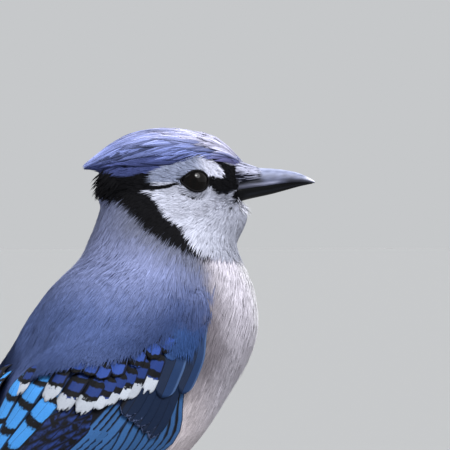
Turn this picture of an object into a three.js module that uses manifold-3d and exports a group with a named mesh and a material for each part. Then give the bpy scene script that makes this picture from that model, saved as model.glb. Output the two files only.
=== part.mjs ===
// A life-size blue jay on a perch: still, with the head turned to its right.
// Millimetres, +Z up, origin at the centre of the base's underside; the body faces +X.
import * as THREE from 'three';
import { mergeVertices } from 'three/addons/utils/BufferGeometryUtils.js';
import Module from 'manifold-3d';

const wasm = await Module();
wasm.setup();

const DEG = Math.PI / 180;
const GAP = 0.3;
const RIGHT = 1;
const LEFT = -1;
const SIDES = [['right', RIGHT], ['left', LEFT]];

// Stance
const BODY_PITCH = 58.5 * DEG;
const BODY_CENTRE = new THREE.Vector3(5.7, 0, 182.5);
const HEAD_TURN = 30 * DEG;
const TURN_AXIS_X = 20.2;
const TURN_FROM = -25;
const TURN_TO = -58;
const EYE_FORWARD = 8.9;
const EYE_HEIGHT = 240.7;

// Rows of the body: way along it, centre above the axis, half depth, half width
const TORSO = [
  [-68, 12, 8, 4],
  [-62, 12.5, 22.5, 9],
  [-56, 11.8, 24, 13.5],
  [-49.5, 10.9, 24.5, 17.8],
  [-41.5, 4.7, 29.6, 23.2],
  [-30, -0.9, 32.2, 28],
  [-20.7, -2.2, 32.6, 29.5],
  [-8.8, -0.3, 35.1, 31],
  [6.2, 0.2, 35.3, 31.5],
  [19.7, 0.7, 33.1, 31],
  [31, 3.2, 31, 29.5],
  [43.5, 6.7, 25.3, 26],
  [57, 10.7, 17, 20],
  [69.4, 13.8, 9.5, 14],
  [77.7, 15, 5.5, 10],
];
const TORSO_STEP = 8;
const TORSO_SIDES = 26;

// Rows of the space that the folded wings lie in, told as the body's are
const WING = [
  [-35, 1.5, 31.5, 27],
  [-20, -2, 33.5, 32],
  [-8, 0, 36, 34],
  [6, 0.3, 36.8, 34.5],
  [20, 0.8, 35, 34],
  [31, 3, 33, 32.5],
  [43.5, 6.5, 28, 29],
  [57, 11, 21.5, 23.5],
  [70, 14.5, 15.5, 18.5],
  [85, 16, 11.5, 14.5],
  [105, 16, 9, 11.5],
  [120, 16, 8.5, 10.5],
];
// Rows of a wing's core: way along the body, angle from the back of its upper and lower edge
const WING_CORE = [
  [-21, 83, 86],
  [-10, 77, 92],
  [0.5, 67, 96],
  [12, 52, 101],
  [20, 36, 105],
  [31, 22, 109],
  [45, 14, 110],
  [60, 12, 108],
  [72, 16, 98],
  [80, 28, 80],
];
const WING_CORE_STEP = 11;
const WING_CORE_COLUMNS = 4;
const WING_CORE_TOP = -0.8;
const WING_CORE_DEPTH = 1.9;
const WING_CORE_OVER_BODY = 0.8;
const BODY_CLEARANCE = 0.4;
const MIDLINE_CLEARANCE = 0.2;

// Feather vanes: thickness, and rows of way along and share of the full width, long and short
const VANE_THICKNESS = 0.5;
const VANE_RINGS = [[0, 0.5], [0.35, 0.92], [0.72, 1], [0.93, 0.66], [1, 0.2]];
const SHORT_RINGS = [[0, 0.5], [0.4, 0.95], [0.82, 0.88], [1, 0.25]];

// Tiers of wing feathers: the first and last feather's root, middle and tip, each as way along
// the body and angle from the back, how far the ones between them bulge past a straight row,
// and how high the vanes lie
const WING_TIERS = [
  {
    rings: VANE_RINGS, count: 4, halfWidth: 4.8, lift: [-0.9, -1.3], tilt: 0.6,
    root: [[33, 84], [33, 100]], middle: [[62, 75], [62, 102]], tip: [[87, 52], [95, 64]], bulge: [16, -18],
  },
  {
    rings: SHORT_RINGS, count: 4, halfWidth: 5, lift: [-0.4, -0.7], tilt: 0.5,
    root: [[30, 49], [27, 79]], middle: [[54, 42], [55, 75]], tip: [[77, 28], [85, 60]], bulge: [1, 0],
  },
  {
    rings: SHORT_RINGS, count: 3, halfWidth: 5.2, lift: [0.1, -0.2], tilt: 0.4,
    root: [[29, 24], [29, 41]], middle: [[46, 18], [50, 34]], tip: [[63, 13], [74, 24]], bulge: [1, 0],
  },
  {
    rings: SHORT_RINGS, count: 2, halfWidth: 5.4, lift: [-0.2, -0.4], tilt: 0.4,
    root: [[-4, 84], [0, 95]], middle: [[13, 83], [16, 98]], tip: [[28, 83], [31, 103]], bulge: [2, 0],
  },
  {
    rings: SHORT_RINGS, count: 7, halfWidth: 4.2, lift: [0.2, 0], tilt: 0.4,
    root: [[18, 26], [-2, 80]], middle: [[27, 22], [7, 82]], tip: [[35.5, 18], [16, 85]], bulge: [8.5, 0],
  },
  {
    rings: SHORT_RINGS, count: 2, halfWidth: 3.2, lift: [0.1, 0], tilt: 0.3,
    root: [[-12, 86], [-13, 88]], middle: [[2, 89], [-1, 92]], tip: [[17, 95], [10, 97]], bulge: [0, 0],
  },
  {
    rings: SHORT_RINGS, count: 5, halfWidth: 4.9, lift: [0.5, 0.4], tilt: 0.4,
    root: [[12, 40], [-10, 79]], middle: [[19, 39], [-4, 81]], tip: [[24.5, 37], [3, 83]], bulge: [6, 0],
  },
];
const ROOT_SINK = 0.7;

// Rows of the head from the bill back: way forward of the eye, top, bottom, half width, its height
const HEAD = [
  [-33, 3.2, -6.5, 6, -1.5],
  [-30, 8, -11, 10.5, -2],
  [-26, 11.6, -15, 13, -3],
  [-20, 14.6, -18.5, 15.2, -4.5],
  [-12, 16, -20, 15.6, -5],
  [-4, 15.6, -18.5, 13.8, -4],
  [3, 14.2, -15.5, 11.4, -2.6],
  [9, 10.8, -12, 9.2, -1.4],
  [13, 7.8, -9.6, 7.4, -0.8],
  [15.5, 5.6, -7.4, 5.6, -0.8],
];
// The crown and crest, told as the head's rows are; their core stays this far inside
const CREST_CORE_INSET = 0.45;
const CREST_CORE_BACK = -31;
const CREST_CORE_SIDES = 14;
// Tiers of crest feathers: count, spread, way forward of root and tip, tip at the outer ones, lift
const CREST_TIERS = [
  { count: 5, spread: 66, root: -16, tip: -38.6, sideTip: -31, lift: -0.3, halfWidth: 4 },
  { count: 6, spread: 66, root: -6, tip: -29, sideTip: -22, lift: 0, halfWidth: 3.7 },
  { count: 4, spread: 52, root: 10.5, tip: -14, sideTip: -8, lift: 0.15, halfWidth: 4.4 },
];
const CREST_LAYER = 0.3;
const CREST = [
  [-38.5, 4.4, 3.4, 0.7, 3.9],
  [-34, 8.2, 2.8, 5, 5],
  [-30, 11.4, 2.5, 8, 6],
  [-25, 14.4, 2.5, 11, 6.5],
  [-18, 16.8, 2.5, 13, 7],
  [-10, 17.7, 3, 13, 7],
  [-2, 16.8, 4, 11.5, 7],
  [5, 15.2, 5, 9, 7],
  [10, 12.4, 5, 6.5, 7],
  [13.5, 9.2, 5, 3.5, 6],
];
const HEAD_SIDES = 18;
const HEAD_STEP = 4.5;
const HEAD_SQUARENESS = 2.2;

// Where the bird is parted: heights and slopes in the head's own side view
const NECK_TOP = { x: -32.7, z: -5.3, slope: -0.439 };
const CREST_BASE = { x: 15.7, z: 8, slope: 0.092 };
const TORSO_TOP = 213;

// Rows of the bill: way forward of the eye, edge away from the mouth, half width
const UPPER_BILL = [
  [15.8, 4.6, 4.3],
  [20.3, 4.45, 3.7],
  [25, 4.2, 3],
  [30, 3.65, 2.25],
  [34, 2.75, 1.6],
  [37, 1.45, 0.9],
  [39.2, -0.2, 0.15],
];
const LOWER_BILL = [
  [15.8, -6.5, 4.1],
  [20, -5.1, 3.5],
  [25, -3.8, 2.8],
  [30, -2.8, 2],
  [34.7, -1.8, 1.3],
  [37, -1.35, 0.8],
  [38.4, -1, 0.25],
];
const BILL_SIDES = 12;
const BILL_STEP = 3;
const MOUTH = { back: 8, front: 16, bend: 34.7, z: -4.15, slope: 0.131, tipSlope: 0.05 };
const MOUTH_LINE = 0.4;

// Nasal bristle feathers over the bill's root: count, spread, way forward of root and tip, lift
const NASAL_TIERS = [
  { count: 4, spread: 62, root: 11, tip: 22.3, lift: 0.05 },
  { count: 4, spread: 74, root: 9.5, tip: 18.2, lift: 0.55 },
];
const NASAL_HALF_WIDTH = 1.9;
const NASAL_ROWS = [
  [8, 11.4, 9.4],
  [12, 8.3, 7.6],
  [15.5, 6.1, 5.7],
  [18, 5.6, 5],
  [23, 5.1, 4.1],
];

const EYE = { radius: 4.9, depth: 4.2, sunk: 2.1 };
const LID = { halfLength: 4.1, halfHeight: 3.35, radius: 0.55, rear: 0.5, steps: 14, sides: 5 };

// Tail: pairs of feathers from the middle out, each with its length and how far its tip is set out
const TAIL = { pitch: 61.5 * DEG, root: 78, height: 14.6, layer: 0.85, halfWidth: 10, sink: 5, tilt: 0.35 };
const TAIL_PAIRS = [
  { length: 128, spread: 1.5 },
  { length: 127, spread: 3.5 },
  { length: 125, spread: 5.5 },
  { length: 122, spread: 7.5 },
  { length: 118, spread: 9.2 },
  { length: 112, spread: 10.8 },
];
// Rows of the covert-covered root of the tail: way along, half width, half depth
const TAIL_COVERTS = [
  [0, 9.4, 5],
  [8, 10.4, 4.4],
  [18, 10.8, 3.2],
  [27, 10, 2],
];

// Perch and stand
const PERCH = { radius: 8, height: 103, length: 106, sides: 18 };
const BASE = { radius: 60, height: 10, chamfer: 1.5, sides: 40 };
const ROD = { radius: 2.5, spacing: 60, sides: 16 };

// Legs: joints of the leg as way forward, way out and height, and radii of its parts, foot first
const FEET_APART = 26;
const FOOT_CLEARANCE = 0.35;
const ANKLE = { x: -2, y: FEET_APART / 2, z: 116 };
const HEEL = { x: -8.5, y: 13.8, z: 129.5 };
const HIP = { x: 0, y: 15.5, z: 158 };
const FOOT_PAD_RADII = [1.9, 1.7];
const TARSUS_RADII = [1.75, 1.35, 1.3, 1.5, 1.8];
const THIGH_RADII = [2.6, 4.1, 6.4, 8.4, 9.5];
const THIGH_SLEEVE = 3;
// Toes: name, angle of the root and tip over the perch, spread at the tip, radius
const TOES = [
  { name: 'inner', from: 2, to: 78, spread: -7.5, radius: 1.25 },
  { name: 'middle', from: 2, to: 98, spread: 0, radius: 1.35 },
  { name: 'outer', from: 2, to: 82, spread: 7.5, radius: 1.25 },
  { name: 'hind', from: -6, to: -82, spread: -1, radius: 1.4 },
];
const TOE_STEPS = 5;
const TOE_TAPER = [1.08, 0.85];
const CLAW_ANGLE = 44;
const CLAW_STEPS = 4;
const CLAW_ARCH = { rise: 0.9, drop: 0.55 };
const CLAW_RADII = { root: 0.72, tip: 0.14 };

const AWAY = new THREE.Vector3(0, 1, 0);
const UP = new THREE.Vector3(0, 0, 1);
const ALONG = new THREE.Vector3(-Math.cos(BODY_PITCH), 0, -Math.sin(BODY_PITCH));
const DORSAL = new THREE.Vector3(-Math.sin(BODY_PITCH), 0, Math.cos(BODY_PITCH));
const FORWARD = new THREE.Vector3(Math.cos(HEAD_TURN), -Math.sin(HEAD_TURN), 0);
const SIDEWAYS = new THREE.Vector3(-Math.sin(HEAD_TURN), -Math.cos(HEAD_TURN), 0);
const HEAD_ORIGIN = new THREE.Vector3(TURN_AXIS_X, 0, EYE_HEIGHT).addScaledVector(FORWARD, EYE_FORWARD);

const clamp01 = (t) => Math.min(Math.max(t, 0), 1);
const mix = (a, b, t) => a + (b - a) * t;
const smoothstep = (t) => clamp01(t) ** 2 * (3 - 2 * clamp01(t));

// Smooth curve through the rows of a table, read at one value of their first column
function rowAt(table, s) {
  let i = 0;
  while (i < table.length - 2 && s > table[i + 1][0]) i += 1;
  const slope = (k, n) => {
    const before = table[Math.max(k - 1, 0)];
    const after = table[Math.min(k + 1, table.length - 1)];
    return (after[n] - before[n]) / (after[0] - before[0]);
  };
  const span = table[i + 1][0] - table[i][0];
  const t = clamp01((s - table[i][0]) / span);
  return table[i].slice(1).map((value, n) => {
    const rise = table[i + 1][n + 1] - value;
    const first = slope(i, n + 1) * span;
    const second = slope(i + 1, n + 1) * span;
    return value + t * (first + t * (3 * rise - 2 * first - second + t * (first + second - 2 * rise)));
  });
}

// Evenly spaced values from one to another, both included
function steps(from, to, spacing) {
  const count = Math.max(Math.round(Math.abs(to - from) / spacing), 1);
  return Array.from({ length: count + 1 }, (_, i) => mix(from, to, i / count));
}

const around = (sides) => Array.from({ length: sides }, (_, i) => (i / sides) * 2 * Math.PI);

function surface(points, index) {
  const geometry = new THREE.BufferGeometry();
  const numbers = points.flatMap((p) => [p.x, p.y, p.z]);
  geometry.setAttribute('position', new THREE.Float32BufferAttribute(numbers, 3));
  geometry.setIndex(index);
  return geometry;
}

// Closed surface through rings of equal count, each end closed by a fan; with alike, the second
// half of each ring is split into triangles the same way as the half that it backs
function loft(rings, alike = false) {
  const sides = rings[0].length;
  const points = rings.flat();
  const index = [];
  for (let r = 0; r < rings.length - 1; r += 1) {
    for (let i = 0; i < sides; i += 1) {
      const a = r * sides + i;
      const b = r * sides + ((i + 1) % sides);
      if (alike && i >= sides / 2) index.push(a, b, a + sides, b, b + sides, a + sides);
      else index.push(a, b, b + sides, a, b + sides, a + sides);
    }
  }
  const last = (rings.length - 1) * sides;
  const middle = (ring) => ring.reduce((sum, p) => sum.add(p), new THREE.Vector3()).divideScalar(sides);
  points.push(middle(rings[0]), middle(rings[rings.length - 1]));
  for (let i = 0; i < sides; i += 1) {
    const j = (i + 1) % sides;
    index.push(j, i, points.length - 2);
    index.push(last + i, last + j, points.length - 1);
  }
  return surface(points, index);
}

function solid(geometry) {
  const bare = geometry.clone();
  bare.deleteAttribute('normal');
  bare.deleteAttribute('uv');
  const merged = mergeVertices(bare, 1e-5);
  const mesh = new wasm.Mesh({
    numProp: 3,
    vertProperties: new Float32Array(merged.attributes.position.array),
    triVerts: new Uint32Array(merged.index.array),
  });
  const body = new wasm.Manifold(mesh);
  if (body.volume() > 0) return body;
  mesh.triVerts.forEach((value, i, all) => {
    if (i % 3 === 1) {
      all[i] = all[i + 1];
      all[i + 1] = value;
    }
  });
  return new wasm.Manifold(mesh);
}

const joined = (bodies) => bodies.reduce((all, body) => all.add(body));

// The largest closed piece of a solid, as geometry
function largest(body) {
  const pieces = body.decompose();
  const piece = pieces.reduce((best, p) => (p.volume() > best.volume() ? p : best));
  const mesh = piece.getMesh();
  const geometry = new THREE.BufferGeometry();
  geometry.setAttribute('position', new THREE.Float32BufferAttribute(mesh.vertProperties, mesh.numProp));
  geometry.setIndex(Array.from(mesh.triVerts));
  return geometry;
}

// A point of the body's skin, or of another surface told by rows as it is
function bodyPoint(table, s, angle, side, grow = 0) {
  const [offset, depth, width] = rowAt(table, s);
  const point = BODY_CENTRE.clone();
  point.addScaledVector(ALONG, s);
  point.addScaledVector(DORSAL, offset + (depth + grow) * Math.cos(angle));
  point.addScaledVector(AWAY, -side * (width + grow) * Math.sin(angle));
  const turn = -HEAD_TURN * smoothstep((TURN_FROM - s) / (TURN_FROM - TURN_TO));
  point.x -= TURN_AXIS_X;
  point.applyAxisAngle(UP, turn);
  point.x += TURN_AXIS_X;
  return point;
}

function bodyLoft(grow) {
  const stations = steps(TORSO[0][0], TORSO[TORSO.length - 1][0], TORSO_STEP);
  const rings = stations.map((s) => around(TORSO_SIDES).map((a) => bodyPoint(TORSO, s, a, RIGHT, grow)));
  return loft(rings);
}

// A point in the head's own frame: forward of the eye, to the bird's right, up
function headPoint(forward, right, up) {
  const point = HEAD_ORIGIN.clone();
  point.addScaledVector(FORWARD, forward);
  point.addScaledVector(SIDEWAYS, right);
  return point.addScaledVector(UP, up);
}

// Half width of the head at one place in its side view
function headSide(forward, up) {
  const [top, bottom, width, middle] = rowAt(HEAD, forward);
  const reach = up > middle ? (up - middle) / (top - middle) : (middle - up) / (middle - bottom);
  return width * (1 - clamp01(reach) ** HEAD_SQUARENESS) ** (1 / HEAD_SQUARENESS);
}

function headRing(table, forward, sides = HEAD_SIDES) {
  const [top, bottom, width, middle] = rowAt(table, forward);
  const power = 2 / HEAD_SQUARENESS;
  return around(sides).map((a) => {
    const height = Math.cos(a) > 0 ? top - middle : middle - bottom;
    const across = width * Math.sign(Math.sin(a)) * Math.abs(Math.sin(a)) ** power;
    const up = middle + height * Math.sign(Math.cos(a)) * Math.abs(Math.cos(a)) ** power;
    return headPoint(forward, across, up);
  });
}

function headLoft(table) {
  const stations = steps(table[0][0], table[table.length - 1][0], HEAD_STEP);
  return loft(stations.map((x) => headRing(table, x)));
}

// A large block whose one face lies on a plane and which fills the side that its normal points to
function halfSpace(point, normal) {
  const size = 600;
  const block = new THREE.BoxGeometry(size, size, size);
  block.translate(0, 0, size / 2);
  block.applyQuaternion(new THREE.Quaternion().setFromUnitVectors(UP, normal));
  block.translate(point.x, point.y, point.z);
  return solid(block);
}

function headPlane({ x, z, slope }) {
  const normal = FORWARD.clone().multiplyScalar(-slope).add(UP).normalize();
  return { point: headPoint(x, 0, z), normal };
}

function above({ point, normal }) {
  return halfSpace(point.clone().addScaledVector(normal, GAP / 2), normal);
}

function below({ point, normal }) {
  return halfSpace(point.clone().addScaledVector(normal, -GAP / 2), normal.clone().negate());
}

// Bill
function mouthHeight(forward) {
  const { back, bend, z, slope, tipSlope } = MOUTH;
  return z + slope * (Math.min(forward, bend) - back) + tipSlope * Math.max(forward - bend, 0);
}

function billHalf(table, shift) {
  const stations = steps(table[0][0], table[table.length - 1][0], BILL_STEP);
  const rings = stations.map((x) => {
    const [edge, width] = rowAt(table, x);
    const mouth = mouthHeight(x) + shift;
    return Array.from({ length: BILL_SIDES }, (_, i) => {
      const a = (i / (BILL_SIDES - 1)) * Math.PI;
      return headPoint(x, width * Math.cos(a), mouth + (edge - mouth) * Math.sin(a) ** 0.85);
    });
  });
  return loft(rings);
}

// Eyes and lids: each eye looks straight out of the side of the head
function eyeball(side, grow) {
  const reach = 0.5;
  const out = headSide(0, 0);
  const forwardSlope = (headSide(reach, 0) - headSide(-reach, 0)) / (2 * reach);
  const upSlope = (headSide(0, reach) - headSide(0, -reach)) / (2 * reach);
  const surface = headPoint(0, side * out, 0);
  const gaze = headPoint(-forwardSlope, side * (out + 1), -upSlope).sub(surface).normalize();
  const centre = surface.addScaledVector(gaze, -EYE.sunk);
  const ball = new THREE.SphereGeometry(EYE.radius + grow, 14, 9);
  ball.scale(1, (EYE.depth + grow) / (EYE.radius + grow), 1);
  ball.applyQuaternion(new THREE.Quaternion().setFromUnitVectors(AWAY, gaze));
  return ball.translate(centre.x, centre.y, centre.z);
}

function lidRing(side) {
  const rings = around(LID.steps).map((a) => {
    const rear = Math.max(-Math.cos(a), 0) ** 6 * LID.rear;
    const forward = LID.halfLength * Math.cos(a) - rear;
    const up = LID.halfHeight * Math.sin(a);
    const out = headSide(forward, up);
    return around(LID.sides).map((b) => {
      const spread = LID.radius * Math.cos(b);
      const across = out + LID.radius * Math.sin(b);
      return headPoint(forward + spread * Math.cos(a), side * across, up + spread * Math.sin(a));
    });
  });
  return closedLoop(rings);
}

// Rings joined end to end into a closed loop
function closedLoop(rings) {
  const sides = rings[0].length;
  const points = rings.flat();
  const index = [];
  for (let r = 0; r < rings.length; r += 1) {
    const next = ((r + 1) % rings.length) * sides;
    for (let i = 0; i < sides; i += 1) {
      const j = (i + 1) % sides;
      const a = r * sides;
      index.push(a + i, a + j, next + j, a + i, next + j, next + i);
    }
  }
  return surface(points, index);
}

// One feather vane; place gives a point from way along (0 to 1), way across and height
function vane(place, halfWidth, tilt, rings) {
  return solid(loft(rings.map(([t, share]) => {
    const across = halfWidth * share;
    const lean = tilt * share;
    return [
      place(t, across, lean),
      place(t, -across, -lean),
      place(t, -across, -lean - VANE_THICKNESS),
      place(t, across, lean - VANE_THICKNESS),
    ];
  }), true));
}

// Wing: its core is a curved patch, cut clear of the body
function wingCore(side) {
  const stations = steps(WING_CORE[0][0], WING_CORE[WING_CORE.length - 1][0], WING_CORE_STEP);
  const rings = stations.map((s) => {
    const [upper, lower] = rowAt(WING_CORE, s);
    const angles = steps(upper, lower, (lower - upper) / WING_CORE_COLUMNS);
    const outer = angles.map((a) => bodyPoint(WING, s, a * DEG, side, WING_CORE_TOP));
    const centre = BODY_CENTRE.clone().addScaledVector(ALONG, s).addScaledVector(DORSAL, rowAt(WING, s)[0]);
    const inner = angles.map((a) => {
      const deep = bodyPoint(WING, s, a * DEG, side, -WING_CORE_DEPTH);
      const overBody = bodyPoint(TORSO, s, a * DEG, side, WING_CORE_OVER_BODY);
      return deep.distanceTo(centre) > overBody.distanceTo(centre) ? deep : overBody;
    });
    return outer.concat(inner.reverse());
  });
  return solid(loft(rings, true));
}

// The place of feather u (0 to 1) of a tier, in the wing's own space of way along and angle
function tierSpot(ends, u, bulge) {
  return [0, 1].map((n) => mix(ends[0][n], ends[1][n], u) + bulge[n] * Math.sin(Math.PI * u));
}

function wingFeather(tier, u, side) {
  const root = tierSpot(tier.root, u, [0, 0]);
  const middle = tierSpot(tier.middle, u, tier.bulge.map((b) => b / 2));
  const tip = tierSpot(tier.tip, u, tier.bulge);
  const spine = (t) => [0, 1].map((n) => {
    const bend = 2 * middle[n] - (root[n] + tip[n]) / 2;
    return (1 - t) ** 2 * root[n] + 2 * t * (1 - t) * bend + t ** 2 * tip[n];
  });
  const lift = mix(tier.lift[0], tier.lift[1], u);
  const place = (t, across, up) => {
    const [s, angle] = spine(t);
    const [beforeS, beforeAngle] = spine(t - 0.01);
    const [afterS, afterAngle] = spine(t + 0.01);
    const [, depth, width] = rowAt(WING, s);
    const arc = Math.hypot(depth * Math.sin(angle * DEG), width * Math.cos(angle * DEG));
    const run = new THREE.Vector2(afterS - beforeS, (afterAngle - beforeAngle) * DEG * arc).normalize();
    const height = lift + up - ROOT_SINK * (1 - smoothstep(t * 3));
    return bodyPoint(WING, s - run.y * across, angle * DEG + (run.x * across) / arc, side, height);
  };
  return vane(place, tier.halfWidth, tier.tilt, tier.rings);
}

const spread = (count) => Array.from({ length: count }, (_, i) => i / (count - 1));

function wing(side) {
  const feathers = WING_TIERS.flatMap((tier) => spread(tier.count).map((u) => wingFeather(tier, u, side)));
  const ownSide = AWAY.clone().multiplyScalar(-side);
  const half = halfSpace(ownSide.clone().multiplyScalar(MIDLINE_CLEARANCE), ownSide);
  return joined([wingCore(side), ...feathers]).subtract(bodyClear).intersect(half);
}

// Tail: its own frame runs down its length from its root
const TAIL_ALONG = new THREE.Vector3(-Math.cos(TAIL.pitch), 0, -Math.sin(TAIL.pitch));
const TAIL_UP = new THREE.Vector3(-Math.sin(TAIL.pitch), 0, Math.cos(TAIL.pitch));
const TAIL_ROOT = BODY_CENTRE.clone()
  .addScaledVector(ALONG, TAIL.root + GAP)
  .addScaledVector(DORSAL, TAIL.height);

function tailPoint(along, right, up) {
  const point = TAIL_ROOT.clone();
  point.addScaledVector(TAIL_ALONG, along);
  point.addScaledVector(AWAY, -right);
  return point.addScaledVector(TAIL_UP, up);
}

function tailFeather(pair, order, side) {
  const middleRight = order === 0 && side === RIGHT;
  const level = TAIL.layer * ((TAIL_PAIRS.length - 1) / 2 - order + (middleRight ? 1 : 0));
  const place = (t, across, up) => {
    const along = mix(TAIL.sink, pair.length, t);
    const centre = side * pair.spread * (0.35 + 0.65 * t);
    return tailPoint(along, centre + side * across, level + up);
  };
  return vane(place, TAIL.halfWidth, -TAIL.tilt, VANE_RINGS);
}

function tail() {
  const coverts = loft(TAIL_COVERTS.map(([along, width, depth]) => around(14)
    .map((a) => tailPoint(along, width * Math.cos(a), depth * Math.sin(a)))));
  const feathers = SIDES.flatMap(([, side]) => TAIL_PAIRS.map((pair, order) => tailFeather(pair, order, side)));
  return joined([solid(coverts), ...feathers]);
}

// Crest: a core inside its outline, and tiers of feathers that reach the outline and its tip
function crestPoint(forward, angle, grow) {
  const [top, , width, middle] = rowAt(CREST, forward);
  const across = Math.max(width + grow, 0.2) * Math.sin(angle);
  return headPoint(forward, across, middle + Math.max(top - middle + grow, 0.2) * Math.cos(angle));
}

function crestCore() {
  const stations = steps(CREST_CORE_BACK, CREST[CREST.length - 1][0], HEAD_STEP);
  return loft(stations.map((x) => {
    const [, , , middle] = rowAt(CREST, x);
    const centre = headPoint(x, 0, middle);
    const ring = headRing(CREST, x, CREST_CORE_SIDES);
    return ring.map((p) => p.lerp(centre, CREST_CORE_INSET / p.distanceTo(centre)));
  }));
}

function crestFeather(tier, u) {
  const lift = tier.lift - (Math.round(u * (tier.count - 1)) % 2) * CREST_LAYER;
  const angle = mix(-tier.spread, tier.spread, u) * DEG;
  const tip = mix(tier.tip, tier.sideTip, Math.abs(2 * u - 1) ** 2);
  const place = (t, across, up) => {
    const x = mix(tier.root, tip, t);
    const [top, , width, middle] = rowAt(CREST, x);
    const arc = Math.max(Math.hypot((top - middle) * Math.sin(angle), width * Math.cos(angle)), 2.5);
    return crestPoint(x, angle + across / arc, lift + up - ROOT_SINK * (1 - smoothstep(t * 3)));
  };
  return vane(place, tier.halfWidth, 0, SHORT_RINGS);
}

// Nasal bristle feathers, lying over the root of the bill
function nasalFeather(tier, u) {
  const angle = mix(-tier.spread, tier.spread, u) * DEG;
  const place = (t, across, up) => {
    const x = mix(tier.root, tier.tip - Math.abs(2 * u - 1) * 2, t);
    const [top, width] = rowAt(NASAL_ROWS, x);
    const height = tier.lift + up + VANE_THICKNESS;
    const turn = angle + across / width;
    return headPoint(x, (width + height) * Math.sin(turn), (top + height) * Math.cos(turn));
  };
  return vane(place, NASAL_HALF_WIDTH, 0.1, SHORT_RINGS);
}

// A round limb of changing radius along a path
function limb(path, radii, sides) {
  const rings = path.map((point, i) => {
    const before = path[Math.max(i - 1, 0)];
    const after = path[Math.min(i + 1, path.length - 1)];
    const along = after.clone().sub(before).normalize();
    const across = new THREE.Vector3().crossVectors(along, AWAY);
    if (across.length() < 0.1) across.copy(UP);
    across.normalize();
    const third = new THREE.Vector3().crossVectors(along, across);
    return around(sides).map((a) => point.clone()
      .addScaledVector(across, radii[i] * Math.cos(a))
      .addScaledVector(third, radii[i] * Math.sin(a)));
  });
  return loft(rings);
}

// A point over the perch: angle from its top towards the bird's front, way along it, radius
function perchPoint(angle, y, radius) {
  return new THREE.Vector3(radius * Math.sin(angle), y, PERCH.height + radius * Math.cos(angle));
}

function toePath(toe, side, footY) {
  return Array.from({ length: TOE_STEPS + 1 }, (_, i) => {
    const t = i / TOE_STEPS;
    const radius = PERCH.radius + FOOT_CLEARANCE + toe.radius * mix(...TOE_TAPER, t);
    const y = footY - side * toe.spread * Math.min(t * 1.5, 1);
    return perchPoint(mix(toe.from, toe.to, t) * DEG, y, radius);
  });
}

function clawPath(toe, side, footY) {
  const turn = Math.sign(toe.to);
  const start = toe.to + turn * 2;
  return Array.from({ length: CLAW_STEPS + 1 }, (_, i) => {
    const t = i / CLAW_STEPS;
    const arch = CLAW_ARCH.rise * Math.sin(t * Math.PI) - CLAW_ARCH.drop * t;
    const radius = PERCH.radius + FOOT_CLEARANCE + toe.radius * TOE_TAPER[1] + arch;
    return perchPoint((start + turn * CLAW_ANGLE * t) * DEG, footY - side * toe.spread, radius);
  });
}

function foot(side) {
  const footY = -side * FEET_APART / 2;
  const toes = TOES.map((toe) => {
    const path = toePath(toe, side, footY);
    return solid(limb(path, path.map((_, i) => toe.radius * mix(...TOE_TAPER, i / TOE_STEPS)), 5));
  });
  const pad = perchPoint(0, footY, PERCH.radius + FOOT_CLEARANCE + FOOT_PAD_RADII[0]);
  toes.push(solid(limb([pad, legPoint(ANKLE, side)], FOOT_PAD_RADII, 7)));
  return joined(toes);
}

const legPoint = ({ x, y, z }, side) => new THREE.Vector3(x, -side * y, z);

function tarsus(side) {
  const start = legPoint(ANKLE, side);
  const end = legPoint(HEEL, side);
  const along = end.clone().sub(start).normalize();
  start.addScaledVector(along, GAP);
  return limb([0, 0.15, 0.5, 0.85, 1].map((t) => start.clone().lerp(end, t)), TARSUS_RADII, 8);
}

// Feathered thigh, from the heel up into the flank
function thigh(side) {
  const heel = legPoint(HEEL, side);
  const along = heel.clone().sub(legPoint(ANKLE, side)).normalize();
  const hip = legPoint(HIP, side);
  const start = heel.addScaledVector(along, GAP);
  const sleeve = start.clone().addScaledVector(along, THIGH_SLEEVE);
  const path = [start, sleeve, ...[0.25, 0.55, 1].map((t) => sleeve.clone().lerp(hip, t))];
  return limb(path, THIGH_RADII, 12);
}

function claw(toe, side) {
  const path = clawPath(toe, side, -side * FEET_APART / 2);
  const taper = (i) => mix(toe.radius * CLAW_RADII.root, CLAW_RADII.tip, (i / CLAW_STEPS) ** 1.2);
  return limb(path, path.map((_, i) => taper(i)), 5);
}

// Perch and stand
function perch() {
  const rings = steps(-PERCH.length / 2, PERCH.length / 2, 15).map((y) => around(PERCH.sides).map((a) => {
    const wobble = Math.abs(y) > 30 ? 0.35 * Math.sin(3 * a + y / 6) : 0;
    return perchPoint(a, y, PERCH.radius + wobble);
  }));
  return loft(rings);
}

function standBase() {
  const { radius, height, chamfer } = BASE;
  const profile = [[0, 0], [radius, 0], [radius, height - chamfer], [radius - chamfer, height], [0, height]];
  const disc = new THREE.LatheGeometry(profile.map(([r, z]) => new THREE.Vector2(r, z)), BASE.sides);
  return disc.rotateX(Math.PI / 2);
}

function standRod(y) {
  const [bottom, top] = [BASE.height + GAP, PERCH.height - PERCH.radius - 2 * GAP];
  const rod = new THREE.CylinderGeometry(ROD.radius, ROD.radius, top - bottom, ROD.sides);
  return rod.rotateX(Math.PI / 2).translate(0, y, (bottom + top) / 2);
}

const group = new THREE.Group();

function addPart(name, body, color, roughness, metalness = 0) {
  const mesh = new THREE.Mesh(largest(body), new THREE.MeshStandardMaterial({ color, roughness, metalness }));
  mesh.name = name;
  group.add(mesh);
}

// The bird's body modelled whole, then parted by thin cuts
const bodyClear = solid(bodyLoft(BODY_CLEARANCE));
const whole = joined([bodyLoft(0), headLoft(HEAD), crestCore()].map(solid));
const neckTop = headPlane(NECK_TOP);
const crestBase = headPlane(CREST_BASE);
const torsoTop = { point: new THREE.Vector3(0, 0, TORSO_TOP), normal: UP };

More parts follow.
